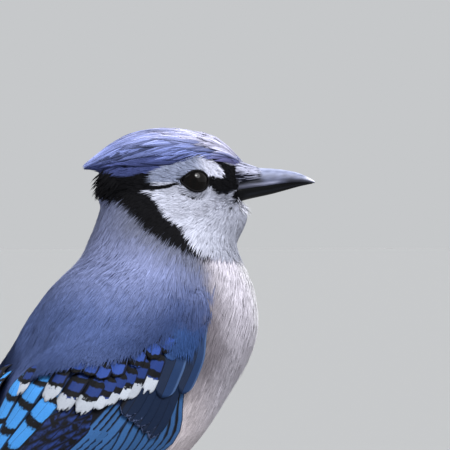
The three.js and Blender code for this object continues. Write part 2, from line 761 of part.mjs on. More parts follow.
const mouthSlot = new THREE.BoxGeometry(MOUTH.front - MOUTH.back, 2 * BASE.radius, MOUTH_LINE);
mouthSlot.translate((MOUTH.front - MOUTH.back) / 2, 0, 0);
mouthSlot.rotateY(-Math.atan(MOUTH.slope));
mouthSlot.rotateZ(-HEAD_TURN);
const mouthBack = headPoint(MOUTH.back, 0, mouthHeight(MOUTH.back));
mouthSlot.translate(mouthBack.x, mouthBack.y, mouthBack.z);

const nasals = NASAL_TIERS.flatMap((tier) => spread(tier.count).map((u) => nasalFeather(tier, u)));
const lids = SIDES.map(([, side]) => solid(lidRing(side)));
const eyeHollows = SIDES.map(([, side]) => solid(eyeball(side, GAP)));
let head = joined([whole.intersect(above(neckTop)), ...lids, ...nasals]).intersect(below(crestBase));
head = head.subtract(joined([...eyeHollows, solid(mouthSlot)]));

addPart('torso', whole.intersect(below(torsoTop)), 0x6f7bb0, 0.85);
addPart('neck', whole.intersect(above(torsoTop)).intersect(below(neckTop)), 0x8d93bb, 0.85);
addPart('head', head, 0xd6d6de, 0.85);
const crestFeathers = CREST_TIERS.flatMap((tier) => spread(tier.count).map((u) => crestFeather(tier, u)));
addPart('crest', joined([whole, ...crestFeathers]).intersect(above(crestBase)), 0x7f88c2, 0.85);
addPart('bill_upper', solid(billHalf(UPPER_BILL, GAP / 2)), 0x23272d, 0.35);
addPart('bill_lower', solid(billHalf(LOWER_BILL, -GAP / 2)), 0x23272d, 0.35);

for (const [name, side] of SIDES) {
  addPart(`eye_${name}`, solid(eyeball(side, 0)), 0x120d0a, 0.08);
  addPart(`wing_${name}`, wing(side), 0x3c64a8, 0.7);
  addPart(`thigh_${name}`, solid(thigh(side)).subtract(bodyClear), 0xb9b3b4, 0.85);
  addPart(`tarsus_${name}`, solid(tarsus(side)), 0x2c2a2b, 0.55);
  addPart(`foot_${name}`, foot(side), 0x2c2a2b, 0.55);
  for (const toe of TOES) addPart(`claw_${toe.name}_${name}`, solid(claw(toe, side)), 0x191717, 0.35);
}
addPart('tail', tail(), 0x3f74bc, 0.7);

addPart('perch', solid(perch()), 0x6a5745, 0.9);
addPart('stand_base', solid(standBase()), 0x5b3d26, 0.5);
addPart('stand_rod_1', solid(standRod(-ROD.spacing / 2)), 0xb9b9b6, 0.3, 1);
addPart('stand_rod_2', solid(standRod(ROD.spacing / 2)), 0xb9b9b6, 0.3, 1);

export default group;
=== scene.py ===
import bpy
import numpy as np
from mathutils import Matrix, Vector
from mathutils.bvhtree import BVHTree


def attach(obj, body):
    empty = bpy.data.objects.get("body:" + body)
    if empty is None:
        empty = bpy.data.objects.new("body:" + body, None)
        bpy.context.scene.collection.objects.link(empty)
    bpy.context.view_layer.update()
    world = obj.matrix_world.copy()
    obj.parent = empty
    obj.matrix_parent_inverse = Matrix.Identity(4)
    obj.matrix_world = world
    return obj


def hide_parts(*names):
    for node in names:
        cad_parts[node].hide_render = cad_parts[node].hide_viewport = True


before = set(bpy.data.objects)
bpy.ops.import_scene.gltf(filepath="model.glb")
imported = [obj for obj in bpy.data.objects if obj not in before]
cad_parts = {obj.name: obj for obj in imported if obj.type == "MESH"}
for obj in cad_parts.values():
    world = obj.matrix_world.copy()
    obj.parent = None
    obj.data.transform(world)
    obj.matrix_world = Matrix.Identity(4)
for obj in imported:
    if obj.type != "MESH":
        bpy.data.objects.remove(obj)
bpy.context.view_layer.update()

MM = 0.001
DEG = np.pi / 180
RIGHT, LEFT = 1, -1
SIDES = (("right", RIGHT), ("left", LEFT))
rng = np.random.default_rng(7)

# Stance, and the rows that tell the body's forms, as the solids have them
BODY_PITCH = 58.5 * DEG
BODY_CENTRE = np.array([5.7, 0, 182.5])
HEAD_TURN = 30 * DEG
TURN_AXIS_X = 20.2
TURN_FROM, TURN_TO = -25, -58
EYE_FORWARD, EYE_HEIGHT = 8.9, 240.7

# Way along the body, centre above its axis, half depth, half width
TORSO = [
    [-68, 12, 8, 4], [-62, 12.5, 22.5, 9], [-56, 11.8, 24, 13.5], [-49.5, 10.9, 24.5, 17.8],
    [-41.5, 4.7, 29.6, 23.2], [-30, -0.9, 32.2, 28], [-20.7, -2.2, 32.6, 29.5], [-8.8, -0.3, 35.1, 31],
    [6.2, 0.2, 35.3, 31.5], [19.7, 0.7, 33.1, 31], [31, 3.2, 31, 29.5], [43.5, 6.7, 25.3, 26],
    [57, 10.7, 17, 20], [69.4, 13.8, 9.5, 14], [77.7, 15, 5.5, 10],
]
# The space that the folded wings lie in
WING = [
    [-35, 1.5, 31.5, 27], [-20, -2, 33.5, 32], [-8, 0, 36, 34], [6, 0.3, 36.8, 34.5], [20, 0.8, 35, 34],
    [31, 3, 33, 32.5], [43.5, 6.5, 28, 29], [57, 11, 21.5, 23.5], [70, 14.5, 15.5, 18.5],
    [85, 16, 11.5, 14.5], [105, 16, 9, 11.5], [120, 16, 8.5, 10.5],
]
# The flesh of a folded wing: way along, angle from the back of its upper and lower edge
WING_FLESH = [
    [-23, 80, 86], [-19, 76, 92], [-8, 70, 93], [3, 58, 95], [14, 42, 97], [24, 30, 96], [34, 26, 92],
    [42, 32, 84],
]
# Where the scapulars end over the wing: angle from the back, way along
SCAPULAR_EDGE = [
    [7, 30], [17, 29], [26, 26.5], [34, 23.5], [43, 18.8], [51, 16.5], [58, 13.5], [63, 10], [67, 7],
    [72, 2.5], [75, 1], [79, 1.5], [84, 1], [88, 0], [91, -2], [95, -6],
]
# Way forward of the eye, top, bottom, half width, height of the widest place
HEAD = [
    [-33, 3.2, -6.5, 6, -1.5], [-30, 8, -11, 10.5, -2], [-26, 11.6, -15, 13, -3],
    [-20, 14.6, -18.5, 15.2, -4.5], [-12, 16, -20, 15.6, -5], [-4, 15.6, -18.5, 13.8, -4],
    [3, 14.2, -15.5, 11.4, -2.6], [9, 10.8, -12, 9.2, -1.4], [13, 7.8, -9.6, 7.4, -0.8],
    [15.5, 5.6, -7.4, 5.6, -0.8],
]
CREST = [
    [-38.5, 4.4, 3.4, 0.7, 3.9], [-34, 8.2, 2.8, 5, 5], [-30, 11.4, 2.5, 8, 6], [-25, 14.4, 2.5, 11, 6.5],
    [-18, 16.8, 2.5, 13, 7], [-10, 17.7, 3, 13, 7], [-2, 16.8, 4, 11.5, 7], [5, 15.2, 5, 9, 7],
    [10, 12.4, 5, 6.5, 7], [13.5, 9.4, 5, 4.4, 6], [16, 7.2, 4.2, 2.6, 5.2],
]
# The bristly feathers over the root of the bill
NASAL = [
    [10, 9.6, -1.5, 8.2, 2], [14, 6.6, -1.2, 6.2, 1.5], [17.5, 5.2, -0.6, 4.7, 1.2], [20.5, 4.5, 0, 3.9, 1.4],
]
NASAL_INSET = 0.5
HEAD_SQUARENESS = 2.2
NECK_PLANE = (-32.7, -5.3, -0.439)

COAT_DEPTH = 0.7
CREST_DEPTH = 1.0
VOXEL = 0.8

ALONG = np.array([-np.cos(BODY_PITCH), 0, -np.sin(BODY_PITCH)])
DORSAL = np.array([-np.sin(BODY_PITCH), 0, np.cos(BODY_PITCH)])
AWAY = np.array([0.0, 1, 0])
UP = np.array([0.0, 0, 1])
FORWARD = np.array([np.cos(HEAD_TURN), -np.sin(HEAD_TURN), 0])
SIDEWAYS = np.array([-np.sin(HEAD_TURN), -np.cos(HEAD_TURN), 0])
HEAD_AXES = (FORWARD, SIDEWAYS, UP)
HEAD_ORIGIN = np.array([TURN_AXIS_X, 0, EYE_HEIGHT]) + EYE_FORWARD * FORWARD
# Rounds in which the way along the bent body is found
PLACE_ROUNDS = 12
NO_TRIANGLES = np.empty((0, 3), int)
# Nearly a full turn in radians, for the phases of waves
WAVE_TURN = 6.28


# Numbers and places

def smoothstep(t):
    t = np.clip(t, 0, 1)
    return t * t * (3 - 2 * t)


def past(value, start, span):
    """0 up to start and 1 from start + span on, smooth between them."""
    return smoothstep((value - start) / span)


def until(value, end, span):
    """1 up to end - span and 0 from end on, smooth between them."""
    return smoothstep((end - value) / span)


def mix(a, b, t):
    return a + (b - a) * t


def tint(colours, paint, share):
    """Colours of points drawn towards a paint, by a share for each point."""
    return mix(colours, paint, np.asarray(share)[:, None])


def unit(v):
    return v / np.maximum(np.linalg.norm(v, axis=-1, keepdims=True), 1e-9)


def signed_power(value, power):
    return np.sign(value) * np.abs(value) ** power


def srgb(red, green, blue):
    """A colour told as 0 to 255, as the linear numbers that Blender mixes."""
    c = np.array([red, green, blue]) / 255
    return np.where(c < 0.04045, c / 12.92, ((c + 0.055) / 1.055) ** 2.4)


def curve(table, x):
    """Smooth curve through a table's rows, read at values of the first column; one array a column."""
    table = np.asarray(table, float)
    knots, values = table[:, 0], table[:, 1:]
    row = np.arange(len(knots))
    before, after = (row - 1).clip(0), (row + 1).clip(max=row[-1])
    slopes = (values[after] - values[before]) / (knots[after] - knots[before])[:, None]
    x = np.asarray(x, float)
    i = np.clip(np.searchsorted(knots, x, side="right") - 1, 0, len(knots) - 2)
    span = (knots[i + 1] - knots[i])[..., None]
    t = np.clip((x - knots[i])[..., None] / span, 0, 1)
    rise = values[i + 1] - values[i]
    first, second = slopes[i] * span, slopes[i + 1] * span
    out = values[i] + t * (first + t * (3 * rise - 2 * first - second + t * (first + second - 2 * rise)))
    return np.moveaxis(out, -1, 0)


def ways_down(table, count, inset=0.0):
    """A column of even ways from a table's first row to its last."""
    return np.linspace(table[0][0] + inset, table[-1][0] - inset / 2, count)[:, None]


def round_angles(count):
    """A row of even angles all the way round."""
    return np.linspace(0, 2 * np.pi, count, endpoint=False)[None, :]


def framed(origin, axes, ways):
    """Points at these ways from an origin along its axes."""
    point = origin
    for axis, way in zip(axes, np.broadcast_arrays(*ways)):
        point = point + way[..., None] * axis
    return point


def ways_from(origin, axes, points):
    return [(points - origin) @ axis for axis in axes]


def wavy(points, size, seed, flatness=1):
    """A smooth random value from about -1 to 1 for each point, on a scale of size."""
    local = np.random.default_rng(seed)
    points = points * np.array([1, 1, flatness])
    total = np.zeros(len(points))
    for _ in range(5):
        direction = unit(local.normal(size=3)) * 2 * np.pi / size * local.uniform(0.7, 1.5)
        total += np.sin(points @ direction + local.uniform(0, WAVE_TURN))
    return total / 3


def turn_at(s):
    return -HEAD_TURN * smoothstep((TURN_FROM - s) / (TURN_FROM - TURN_TO))


def turned(v, angle, pivot_x=0.0):
    """Points or directions turned about the vertical axis at pivot_x."""
    c, n = np.cos(angle), np.sin(angle)
    x, y = v[..., 0] - pivot_x, v[..., 1]
    return np.stack([pivot_x + c * x - n * y, n * x + c * y, v[..., 2]], -1)


def body_point(table, s, angle, side, grow=0.0):
    """A point at way s along the body and angle from its back, over the surface that table tells."""
    s, angle, grow = np.broadcast_arrays(np.asarray(s, float), angle, grow)
    offset, depth, width = curve(table, s)
    ways = (s, offset + (depth + grow) * np.cos(angle), -side * (width + grow) * np.sin(angle))
    return turned(framed(BODY_CENTRE, (ALONG, DORSAL, AWAY), ways), turn_at(s), TURN_AXIS_X)


def body_place(points):
    """Way along the body, angle from its back and side, of points near the body."""
    s = (points - BODY_CENTRE) @ ALONG
    for _ in range(PLACE_ROUNDS):
        straight = turned(points, -turn_at(s), TURN_AXIS_X)
        s = 0.5 * s + 0.5 * ((straight - BODY_CENTRE) @ ALONG)
    offset, depth, width = curve(TORSO, np.clip(s, TORSO[0][0], TORSO[-1][0]))
    _, over, away = ways_from(BODY_CENTRE, (ALONG, DORSAL, AWAY), straight)
    out = -away / width
    return s, np.arctan2(np.abs(out), (over - offset) / depth), np.where(out > 0, RIGHT, LEFT)


SCAPULAR_RISE = 1.3
# Angle from the back, way over which the scapulars rise off the back
SCAPULAR_SLOPE = [[8, 40], [34, 48], [60, 44], [74, 32], [82, 24], [91, 20]]


def scapular_point(s, degrees, side, grow, sunk=0.0):
    """A point on the scapulars, which rise off the back to lie over the coverts; sunk where they start."""
    end, = curve(SCAPULAR_EDGE, degrees)
    slope, = curve(SCAPULAR_SLOPE, degrees)
    over = smoothstep((slope + 1 - end + s) / slope) * past(degrees, 6, 22)
    low = body_point(TORSO, s, degrees * DEG, side, grow - sunk * (1 - smoothstep(over * 6)))
    high = body_point(WING, s, degrees * DEG, side, grow + SCAPULAR_RISE)
    return mix(low, high, over[..., None])


def head_point(forward, right, up):
    return framed(HEAD_ORIGIN, HEAD_AXES, (forward, right, up))


def head_place(points):
    """Way forward, right and up of points from the eye, in the head's frame."""
    return ways_from(HEAD_ORIGIN, HEAD_AXES, points)


def head_ring(table, forward, angle, grow=0.0):
    """A point of one of the head's forms, at an angle from its top."""
    top, bottom, width, middle = curve(table, forward)
    power = 2 / HEAD_SQUARENESS
    height = np.where(np.cos(angle) > 0, top - middle, middle - bottom) + grow
    across = (width + grow).clip(0.3) * signed_power(np.sin(angle), power)
    return head_point(forward, across, middle + height.clip(0.3) * signed_power(np.cos(angle), power))


def neck_height(points):
    """Height above the plane that parts head and neck."""
    forward, _, up = head_place(points)
    x, z, slope = NECK_PLANE
    return (up - z - slope * (forward - x)) / np.hypot(1, slope)


# Meshes and pieces

def loft(rings):
    """Points, quads and triangles of a closed surface through rings of one count, ends closed by fans."""
    count, sides = rings.shape[:2]
    points = np.concatenate([rings.reshape(-1, 3), rings[[0, -1]].mean(1)])
    i = np.arange(sides)
    j = (i + 1) % sides
    base = np.arange(count - 1)[:, None] * sides
    quads = np.stack([base + i, base + j, base + sides + j, base + sides + i], -1).reshape(-1, 4)
    last = (count - 1) * sides
    first_fan = np.stack([j, i, np.full(sides, len(points) - 2)], -1)
    last_fan = np.stack([last + i, last + j, np.full(sides, len(points) - 1)], -1)
    return points, quads, np.concatenate([first_fan, last_fan])


def merged(parts):
    """One set of points, quads and triangles from several."""
    points, quads, triangles, start = [], [], [], 0
    for p, q, t in parts:
        points.append(p)
        quads.append(q + start)
        triangles.append(t + start)
        start += len(p)
    return np.concatenate(points), np.concatenate(quads), np.concatenate(triangles)


def limb(path, radii, sides):
    """Rings of a round limb of changing radius along a path."""
    path = np.asarray(path, float)
    along = unit(np.gradient(path, axis=0))
    across = np.cross(along, AWAY)
    across[np.linalg.norm(across, axis=1) < 0.1] = UP
    across = unit(across)
    third = np.cross(along, across)
    a = round_angles(sides)[..., None]
    radii = np.asarray(radii, float)[:, None, None]
    return path[:, None] + radii * (np.cos(a) * across[:, None] + np.sin(a) * third[:, None])


def new_mesh(name, points, quads, triangles):
    mesh = bpy.data.meshes.new(name)
    mesh.vertices.add(len(points))
    mesh.vertices.foreach_set("co", (np.asarray(points) * MM).astype(np.float32).ravel())
    corners = np.concatenate([np.asarray(quads).ravel(), np.asarray(triangles).ravel()]).astype(np.int32)
    sizes = np.concatenate([np.full(len(quads), 4), np.full(len(triangles), 3)]).astype(np.int32)
    mesh.loops.add(len(corners))
    mesh.loops.foreach_set("vertex_index", corners)
    mesh.polygons.add(len(sizes))
    mesh.polygons.foreach_set("loop_start", (np.cumsum(sizes) - sizes).astype(np.int32))
    mesh.polygons.foreach_set("use_smooth", np.ones(len(sizes), bool))
    mesh.update(calc_edges=True)
    return mesh


def linked(name, data):
    """A new object of this data in the scene."""
    thing = bpy.data.objects.new(name, data)
    bpy.context.scene.collection.objects.link(thing)
    return thing


def new_piece(name, form, material, nodes=()):
    """A piece of a mesh or form, riding on the one body, standing for the CAD nodes that are named."""
    mesh = form if isinstance(form, bpy.types.Mesh) else new_mesh(name, *form)
    piece = linked(name, mesh)
    mesh.materials.append(material)
    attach(piece, "root")
    if nodes:
        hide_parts(*nodes)
    return piece


def set_colours(mesh, name, colours):
    layer = mesh.color_attributes.new(name, "FLOAT_COLOR", "POINT")
    data = np.concatenate([colours, np.ones((len(colours), 1))], 1).astype(np.float32)
    layer.data.foreach_set("color", data.ravel())


def set_uv(mesh, name, uv_of_points):
    corners = np.empty(len(mesh.loops), np.int32)
    mesh.loops.foreach_get("vertex_index", corners)
    layer = mesh.uv_layers.new(name=name)
    layer.data.foreach_set("uv", uv_of_points[corners].astype(np.float32).ravel())


def points_of(mesh):
    co = np.empty(len(mesh.vertices) * 3, np.float32)
    mesh.vertices.foreach_get("co", co)
    return co.reshape(-1, 3).astype(float) / MM


# Node materials

class Look:
    """A node material; a call adds a node and gives back its outputs or the one that is wanted."""

    def __init__(self, name):
        self.material = bpy.data.materials.new(name)
        self.material.use_nodes = True
        self.tree = self.material.node_tree
        self.shader = self.tree.nodes["Principled BSDF"].inputs
        self.place = self.add("TexCoord")["Object"]

    def put(self, socket, value):
        if isinstance(value, bpy.types.NodeSocket):
            self.tree.links.new(value, socket)
        else:
            socket.default_value = value

    def add(self, kind, inputs=(), **settings):
        node = self.tree.nodes.new(f"ShaderNode{kind}")
        for name, value in settings.items():
            setattr(node, name, value)
        for name, value in dict(inputs).items():
            self.put(node.inputs[name], value)
        return node.outputs

    def maths(self, operation, *values):
        return self.add("Math", enumerate(values), operation=operation)[0]

    def scaled(self, value, factor, plus=0.0):
        return self.maths("MULTIPLY_ADD", value, factor, plus)

    def ramp(self, value, low, high):
        """0 below low and 1 above high, smooth between them."""
        inputs = {"Value": value, "From Min": low, "From Max": high}
        return self.add("MapRange", inputs, interpolation_type="SMOOTHSTEP")["Result"]

    def blend(self, factor, a, b, kind="MIX"):
        a, b = (c if isinstance(c, bpy.types.NodeSocket) else (*c, 1) for c in (a, b))
        return self.add("Mix", {0: factor, 6: a, 7: b}, data_type="RGBA", blend_type=kind)[2]

    def stretched(self, scale):
        return self.add("Mapping", {"Vector": self.place, "Scale": scale})["Vector"]

    def noise(self, scale, detail, roughness=0.5):
        """Noise of one scale, or of a scale for each axis."""
        place = self.place
        if isinstance(scale, tuple):
            place, scale = self.stretched(scale), 1.0
        inputs = {"Vector": place, "Scale": scale, "Detail": detail, "Roughness": roughness}
        return self.add("TexNoise", inputs)["Fac"]

    def painted(self, name):
        """The colours set on a mesh's points under this name."""
        return self.add("VertexColor", layer_name=name)["Color"]

    def toned(self, name, factor, low, high):
        """The painted colours, made darker or paler from low to high by factor."""
        return self.blend(1.0, self.painted(name), self.blend(factor, low, high), "MULTIPLY")

    def finish(self, colour, roughness, specular, relief=None, depth=0.0, strength=1.0):
        """The material, its shader set; relief is a height that bumps the surface by depth."""
        inputs = {"Base Color": colour, "Roughness": roughness, "Specular IOR Level": specular}
        if relief is not None:
            bump = self.add("Bump", {"Height": relief, "Distance": depth, "Strength": strength})
            inputs["Normal"] = bump["Normal"]
        for name, value in inputs.items():
            self.put(self.shader[name], value)
        return self.material


def grained_look(name, scale, detail, a, b, roughness, specular, between=None, depth=0.0, strength=1.0):
    """A material that varies between two colours by one noise, which also bumps it by depth."""
    look = Look(name)
    grain = look.noise(scale, detail)
    share = look.ramp(grain, *between) if between else grain
    relief = grain if depth else None
    return look.finish(look.blend(share, a, b), roughness, specular, relief, depth, strength)


# Colours of the plumage, with painted light and shade: one set for skin and coat alike

MANTLE_PALE = srgb(122, 130, 168)
MANTLE = srgb(69, 83, 125)
MANTLE_DEEP = srgb(37, 51, 88)
NECK_GREY = srgb(90, 93, 109)
CROWN = srgb(98, 109, 158)
CROWN_HIGHLIGHT = srgb(116, 124, 166)
CROWN_SHADED = srgb(57, 65, 108)
CREST_FRINGE = srgb(160, 164, 198)
FOREHEAD_HIGHLIGHT = srgb(180, 179, 202)
FOREHEAD_VIOLET = srgb(78, 76, 110)
BROW = srgb(118, 125, 148)
BROW_FRONT_PALE = srgb(181, 183, 201)
BLACK = srgb(8, 9, 13)
CHEEK = srgb(164, 167, 183)
THROAT = srgb(144, 147, 162)
BRISTLE = srgb(160, 162, 184)
BREAST = srgb(186, 182, 194)
BREAST_HIGHLIGHT = srgb(214, 213, 219)
FLANK_GREY_SHADED = srgb(99, 94, 101)
BELLY = srgb(192, 183, 188)
NECKLACE = srgb(62, 64, 90)
STUBBLE = srgb(46, 48, 66)

# Height of the cap's lower edge by way forward of the eye
CAP_EDGE = [
    [-38, 4], [-34.7, 3.3], [-31, 2.4], [-26.5, 1.2], [-22.7, 1.6], [-17.7, 2.6], [-14, 3.6], [-10.5, 5.2],
    [-6.7, 7.1], [-3.3, 7.8], [2.2, 8.7], [5.5, 7.8], [8.5, 6.7], [12.4, 5.1], [16, 4.8],
]
# Rear and front edge of the black collar by height
COLLAR = [
    [-28, 14, 14.5], [-27, 5, 8], [-25.5, -1, 2.5], [-23, -6, -1.5], [-20, -12, -3.6], [-16.5, -17.5, -5],
    [-13, -20.5, -9.5], [-9, -25, -12.8], [-5.2, -33, -15.5], [-3.8, -36, -18.5], [-2.4, -38, -15.2],
    [2, -40, -15.5], [5, -40, -17],
]
# Lower and upper edge of the black between eye and bill, by way forward
LORES = [
    [3, -0.4, 7.9], [4.1, -2.1, 7.9], [6.9, -4.0, 7.7], [9.3, -4.4, 6.3], [12, -3.6, 5.2], [14.6, -2.6, 4.6],
]
# Front edge of the brow's pale foremost tip, by height
BROW_FRONT = [[0.9, 8.9], [4.3, 8.0], [7.5, 4.9], [9, 3.6]]
# Lower edge of the brow before the eye, by way forward
BROW_FOOT = [[3, 2.4], [6, 1.6], [9, 1.0]]
EYE_LINE = [[-16, -2.9], [-12, -2.2], [-9, -1.6], [-7.4, -0.9], [-6.2, 0.0], [-5.2, 0.6], [-4.4, 0.8]]
EYE_LINE_HALF = 0.55
# By way forward: height of the collar's thin end round the throat, half its thickness
NECKLACE_LINE = [[-5, -22.6, 1.2], [-2.2, -24.4, 1.1], [3, -26.5, 0.95], [9.7, -27.6, 0.7], [16, -27.8, 0.6]]
# Where the painted highlight on the top of the cap starts: way forward, share of the cap's height
FOREHEAD_HIGHLIGHT_FROM = [[-24, 1.2], [-12, 1.05], [-3, 0.9], [2, 0.7], [8, 0.55], [10.5, 0.62], [13, 0.85], [15, 1]]


def edge(value, softness):
    """1 where value is well above 0, 0 where it is well below."""
    return smoothstep(value / (2 * np.asarray(softness)) + 0.5)


def near(value, reach):
    return np.exp(-(value / reach) ** 2)


def cap_colour(points, forward, up):
    """Violet blue crown with painted shade low on its sides, a painted highlight along its top and a pale
    painted highlight over the forehead.
    """
    top = curve(CREST, forward)[0]
    high = smoothstep((up - 6) / np.maximum(top - 7, 2))
    # Painted shade: darker blue low on the cap's sides, but not at the crest's tip
    lit = np.maximum(smoothstep(high * 3), until(forward, -33.5, 3))
    colour = tint(CROWN_SHADED, CROWN, lit)
    # Painted highlight: paler towards the top of the cap, less so at its rear
    pale = smoothstep(high * 1.6 - 0.5) * mix(0.3, 1.0, past(forward, -27, 15))
    colour = tint(colour, CROWN_HIGHLIGHT, pale)
    colour = tint(colour, FOREHEAD_VIOLET, past(forward, 3, 5) * (1 - high) * 0.8)
    begin, = curve(FOREHEAD_HIGHLIGHT_FROM, forward)
    # Painted highlight: pale over the top of the forehead
    white = smoothstep((high - begin + 0.14 * wavy(points, 5, 15, 2)) / 0.5 + 0.5)
    colour = tint(colour, FOREHEAD_HIGHLIGHT, 0.9 * white)
    return colour * (1 + 0.12 * wavy(points, 5.5, 13, 2.2))[:, None]


def head_colours(points, colour):
    forward, right, up = head_place(points)
    forward = forward + 0.4 * wavy(points, 3.1, 11)
    up = up + 0.3 * wavy(points, 2.7, 12)

    def lay(mask, paint):
        return tint(colour, paint, np.clip(mask, 0, 1))

    cheek = tint(CHEEK, THROAT, past(forward, -2, 14))
    grey = 0.1 * wavy(points, 4.5, 16, 0.6) + 0.07 * wavy(points, 1.8, 17)
    cheek = cheek * (1 + grey - 0.16 * near(up + 10, 4) * near(forward + 2, 8))[:, None]
    cap_edge, = curve(CAP_EDGE, forward)
    rear, front = curve(COLLAR, up)
    own = edge(forward - front, 0.5) * edge(up + 27.2, 0.5)
    colour = lay(np.maximum(own, edge(up - cap_edge, 0.3) * (up > -2)), cheek)
    black = edge(forward - rear, 1.0) * edge(front - forward, 0.4) * edge(up + 26.2, 0.5)
    colour = lay(black * (forward < 6), BLACK)
    necklace, half = curve(NECKLACE_LINE, forward)
    broken = mix(1.0, 0.75 + 0.3 * wavy(points, 2.2, 18), past(forward, 2, 4))
    line = near(up - necklace, half) * edge(forward + 4, 1) * broken
    colour = lay(line, tint(BLACK, NECKLACE, past(forward, 3, 4)))
    brow = edge(cap_edge - up, 0.4) * edge(up + 0.5, 0.6) * edge(forward + 16, 1)
    pale = tint(BROW, BROW_FRONT_PALE, past(forward, -2, 7))
    colour = lay(brow, pale * (1 + 0.14 * wavy(points, 2.2, 19))[:, None])
    line, = curve(EYE_LINE, forward)
    eye_line = edge(EYE_LINE_HALF - np.abs(up - line), 0.15) * (forward > -16.5) * (forward < -3.5)
    colour = lay(eye_line, BLACK)
    low, high = curve(LORES, forward)
    brow_front, = curve(BROW_FRONT, up)
    brow_foot, = curve(BROW_FOOT, forward)
    lores = edge(up - low, 0.3) * edge(high - up, 0.35) * edge(forward - 3.4, 0.4) * (np.abs(right) > 0.5)
    lores = lores * (1 - edge(brow_front - forward, 0.3) * edge(up - brow_foot, 0.3))
    colour = lay(edge(up - cap_edge, 0.4) * (1 - lores), cap_colour(points, forward, up))
    colour = lay(lores, BLACK)
    bristles = edge(forward - 14.3, 0.5) * edge(up + 2.0, 0.5)
    colour = lay(bristles, BRISTLE * (1 + 0.3 * wavy(points, 1.6, 20))[:, None])
    speckle = edge(wavy(points, 1.3, 14) - 0.15, 0.2)
    stubble = near(forward - 10.5, 3.2) * near(up + 6.4, 2.0)
    stubble = np.maximum(stubble, 0.7 * near(forward - 8, 3) * near(up + 9, 2))
    colour = lay(speckle * stubble * 0.9, STUBBLE)
    gape = near(forward - 13.4, 1.3) * near(up + 6.8 - 0.45 * (forward - 13.4), 0.55)
    gape = np.maximum(gape, near(forward - 11.4, 0.6) * near(up + 9.6, 0.6))
    bill_root = edge(forward - 12.1, 0.4) * edge(-3.0 - 0.4 * (14.2 - forward) - up, 0.3)
    gape = np.maximum(gape, bill_root * edge(up + 7.6 - 0.9 * (14.2 - forward), 0.3))
    return lay(gape * 1.6, BLACK)


def body_colours(points):
    s, angle, _ = body_place(points)
    theta = angle / DEG + 3 * wavy(points, 9, 21)
    s = s + 0.8 * wavy(points, 6, 22)
    colour = tint(MANTLE, MANTLE_PALE, until(s, 8, 34))
    deep = past(theta, 40, 40) * past(s, -40, 30)
    rear = past(s, 8, 26) * past(theta, -4, 26)
    colour = tint(colour, MANTLE_DEEP, np.maximum(deep, rear) * 0.9)
    neck = until(s, -20, 13) * past(theta, -20, 60)
    colour = tint(colour, NECK_GREY, neck * 0.9)
    wing_front = past(s, -27, 4)
    pale = edge(theta - mix(84.0, 91.5, wing_front), mix(9.0, 1.5, wing_front))
    low = past(s, -34, 28)
    # Painted highlight on the front of the upper breast
    breast = tint(BREAST, BREAST_HIGHLIGHT, past(theta, 118, 36) * until(s, -21, 7))
    # The flank's own grey, with painted shade darkening it next to the wing, giving way to the breast further
    # out
    under = tint(FLANK_GREY_SHADED, breast, smoothstep((theta - mix(66, 108, low)) / mix(46, 40, low)))
    under = tint(under, BELLY, 0.85 * past(s, -4, 26))
    return tint(colour, under, pale)


def plumage_colours(points):
    """Linear colour of the bird at each point, with painted light and shade."""
    forward, _, up = head_place(points)
    rear, _ = curve(COLLAR, up)
    on_head = edge(up + 28.4, 0.6) * edge(forward - rear + 1.5, 1.0)
    colour = body_colours(points)
    return np.clip(tint(colour, head_colours(points, colour), on_head), 0.003, 0.95)


# Eyes and lids

EYE_RADIUS, EYE_DEPTH, EYE_SUNK = 4.9, 4.2, 2.1
LID_FRONT, LID_REAR, LID_CORNER = 4.2, 4.3, 0.75
LID_TOP, LID_BOTTOM = 3.3, 3.55
LID_RADIUS = 0.42
# How far from the eye's centre the skin rises to the lid
LID_REACH = 6.4
SOCKET_DEPTH, SOCKET_WALL = 4, 0.8


def head_side(forward, up):
    top, bottom, width, middle = curve(HEAD, forward)
    reach = np.where(up > middle, (up - middle) / (top - middle), (middle - up) / (middle - bottom))
    return width * (1 - np.clip(reach, 0, 1) ** HEAD_SQUARENESS) ** (1 / HEAD_SQUARENESS)


def eye_axes(side):
    """Centre of the eyeball, and its ways ahead, above and outward."""
    zero, reach = np.array(0.0), 0.5
    forward_slope = head_side(zero + reach, zero) - head_side(zero - reach, zero)
    up_slope = head_side(zero, zero + reach) - head_side(zero, zero - reach)
    gaze = unit(-forward_slope * FORWARD + side * SIDEWAYS - up_slope * UP)
    centre = head_point(0, side * head_side(zero, zero), 0) - EYE_SUNK * gaze
    ahead = unit(FORWARD - (FORWARD @ gaze) * gaze)
    above = unit(UP - (UP @ gaze) * gaze - (UP @ ahead) * ahead)
    return centre, ahead, above, gaze


def eye_place(points, side):
    """Ways ahead, above and outward of points from the eyeball's centre."""
    centre, *axes = eye_axes(side)
    return ways_from(centre, axes, points)


def eye_point(ahead, above, out, side):
    centre, *axes = eye_axes(side)
    return framed(centre, axes, (ahead, above, out))


def ball_height(radius):
    return EYE_DEPTH * np.sqrt(np.clip(1 - (radius / EYE_RADIUS) ** 2, 0, 1))


def lid_outline(a):
    """Ways ahead and above of the lid's rim from the eye's centre, drawn out to a corner at its rear."""
    rear = np.clip(-np.cos(a), 0, 1)
    ahead = np.where(np.cos(a) > 0, LID_FRONT, LID_REAR) * np.cos(a) - LID_CORNER * rear ** 9
    height = np.where(np.sin(a) > 0, LID_TOP, LID_BOTTOM)
    return ahead, height * np.sin(a) * (1 - 0.2 * rear ** 3)


def lid_reach(polar):
    """Distance of the lid's rim from the eye's centre at a polar angle."""
    ahead, above = lid_outline(np.linspace(0, 2 * np.pi, 180, endpoint=False))
    angles = np.arctan2(above, ahead)
    order = np.argsort(angles)
    return np.interp(polar, angles[order], np.hypot(ahead, above)[order], period=2 * np.pi)


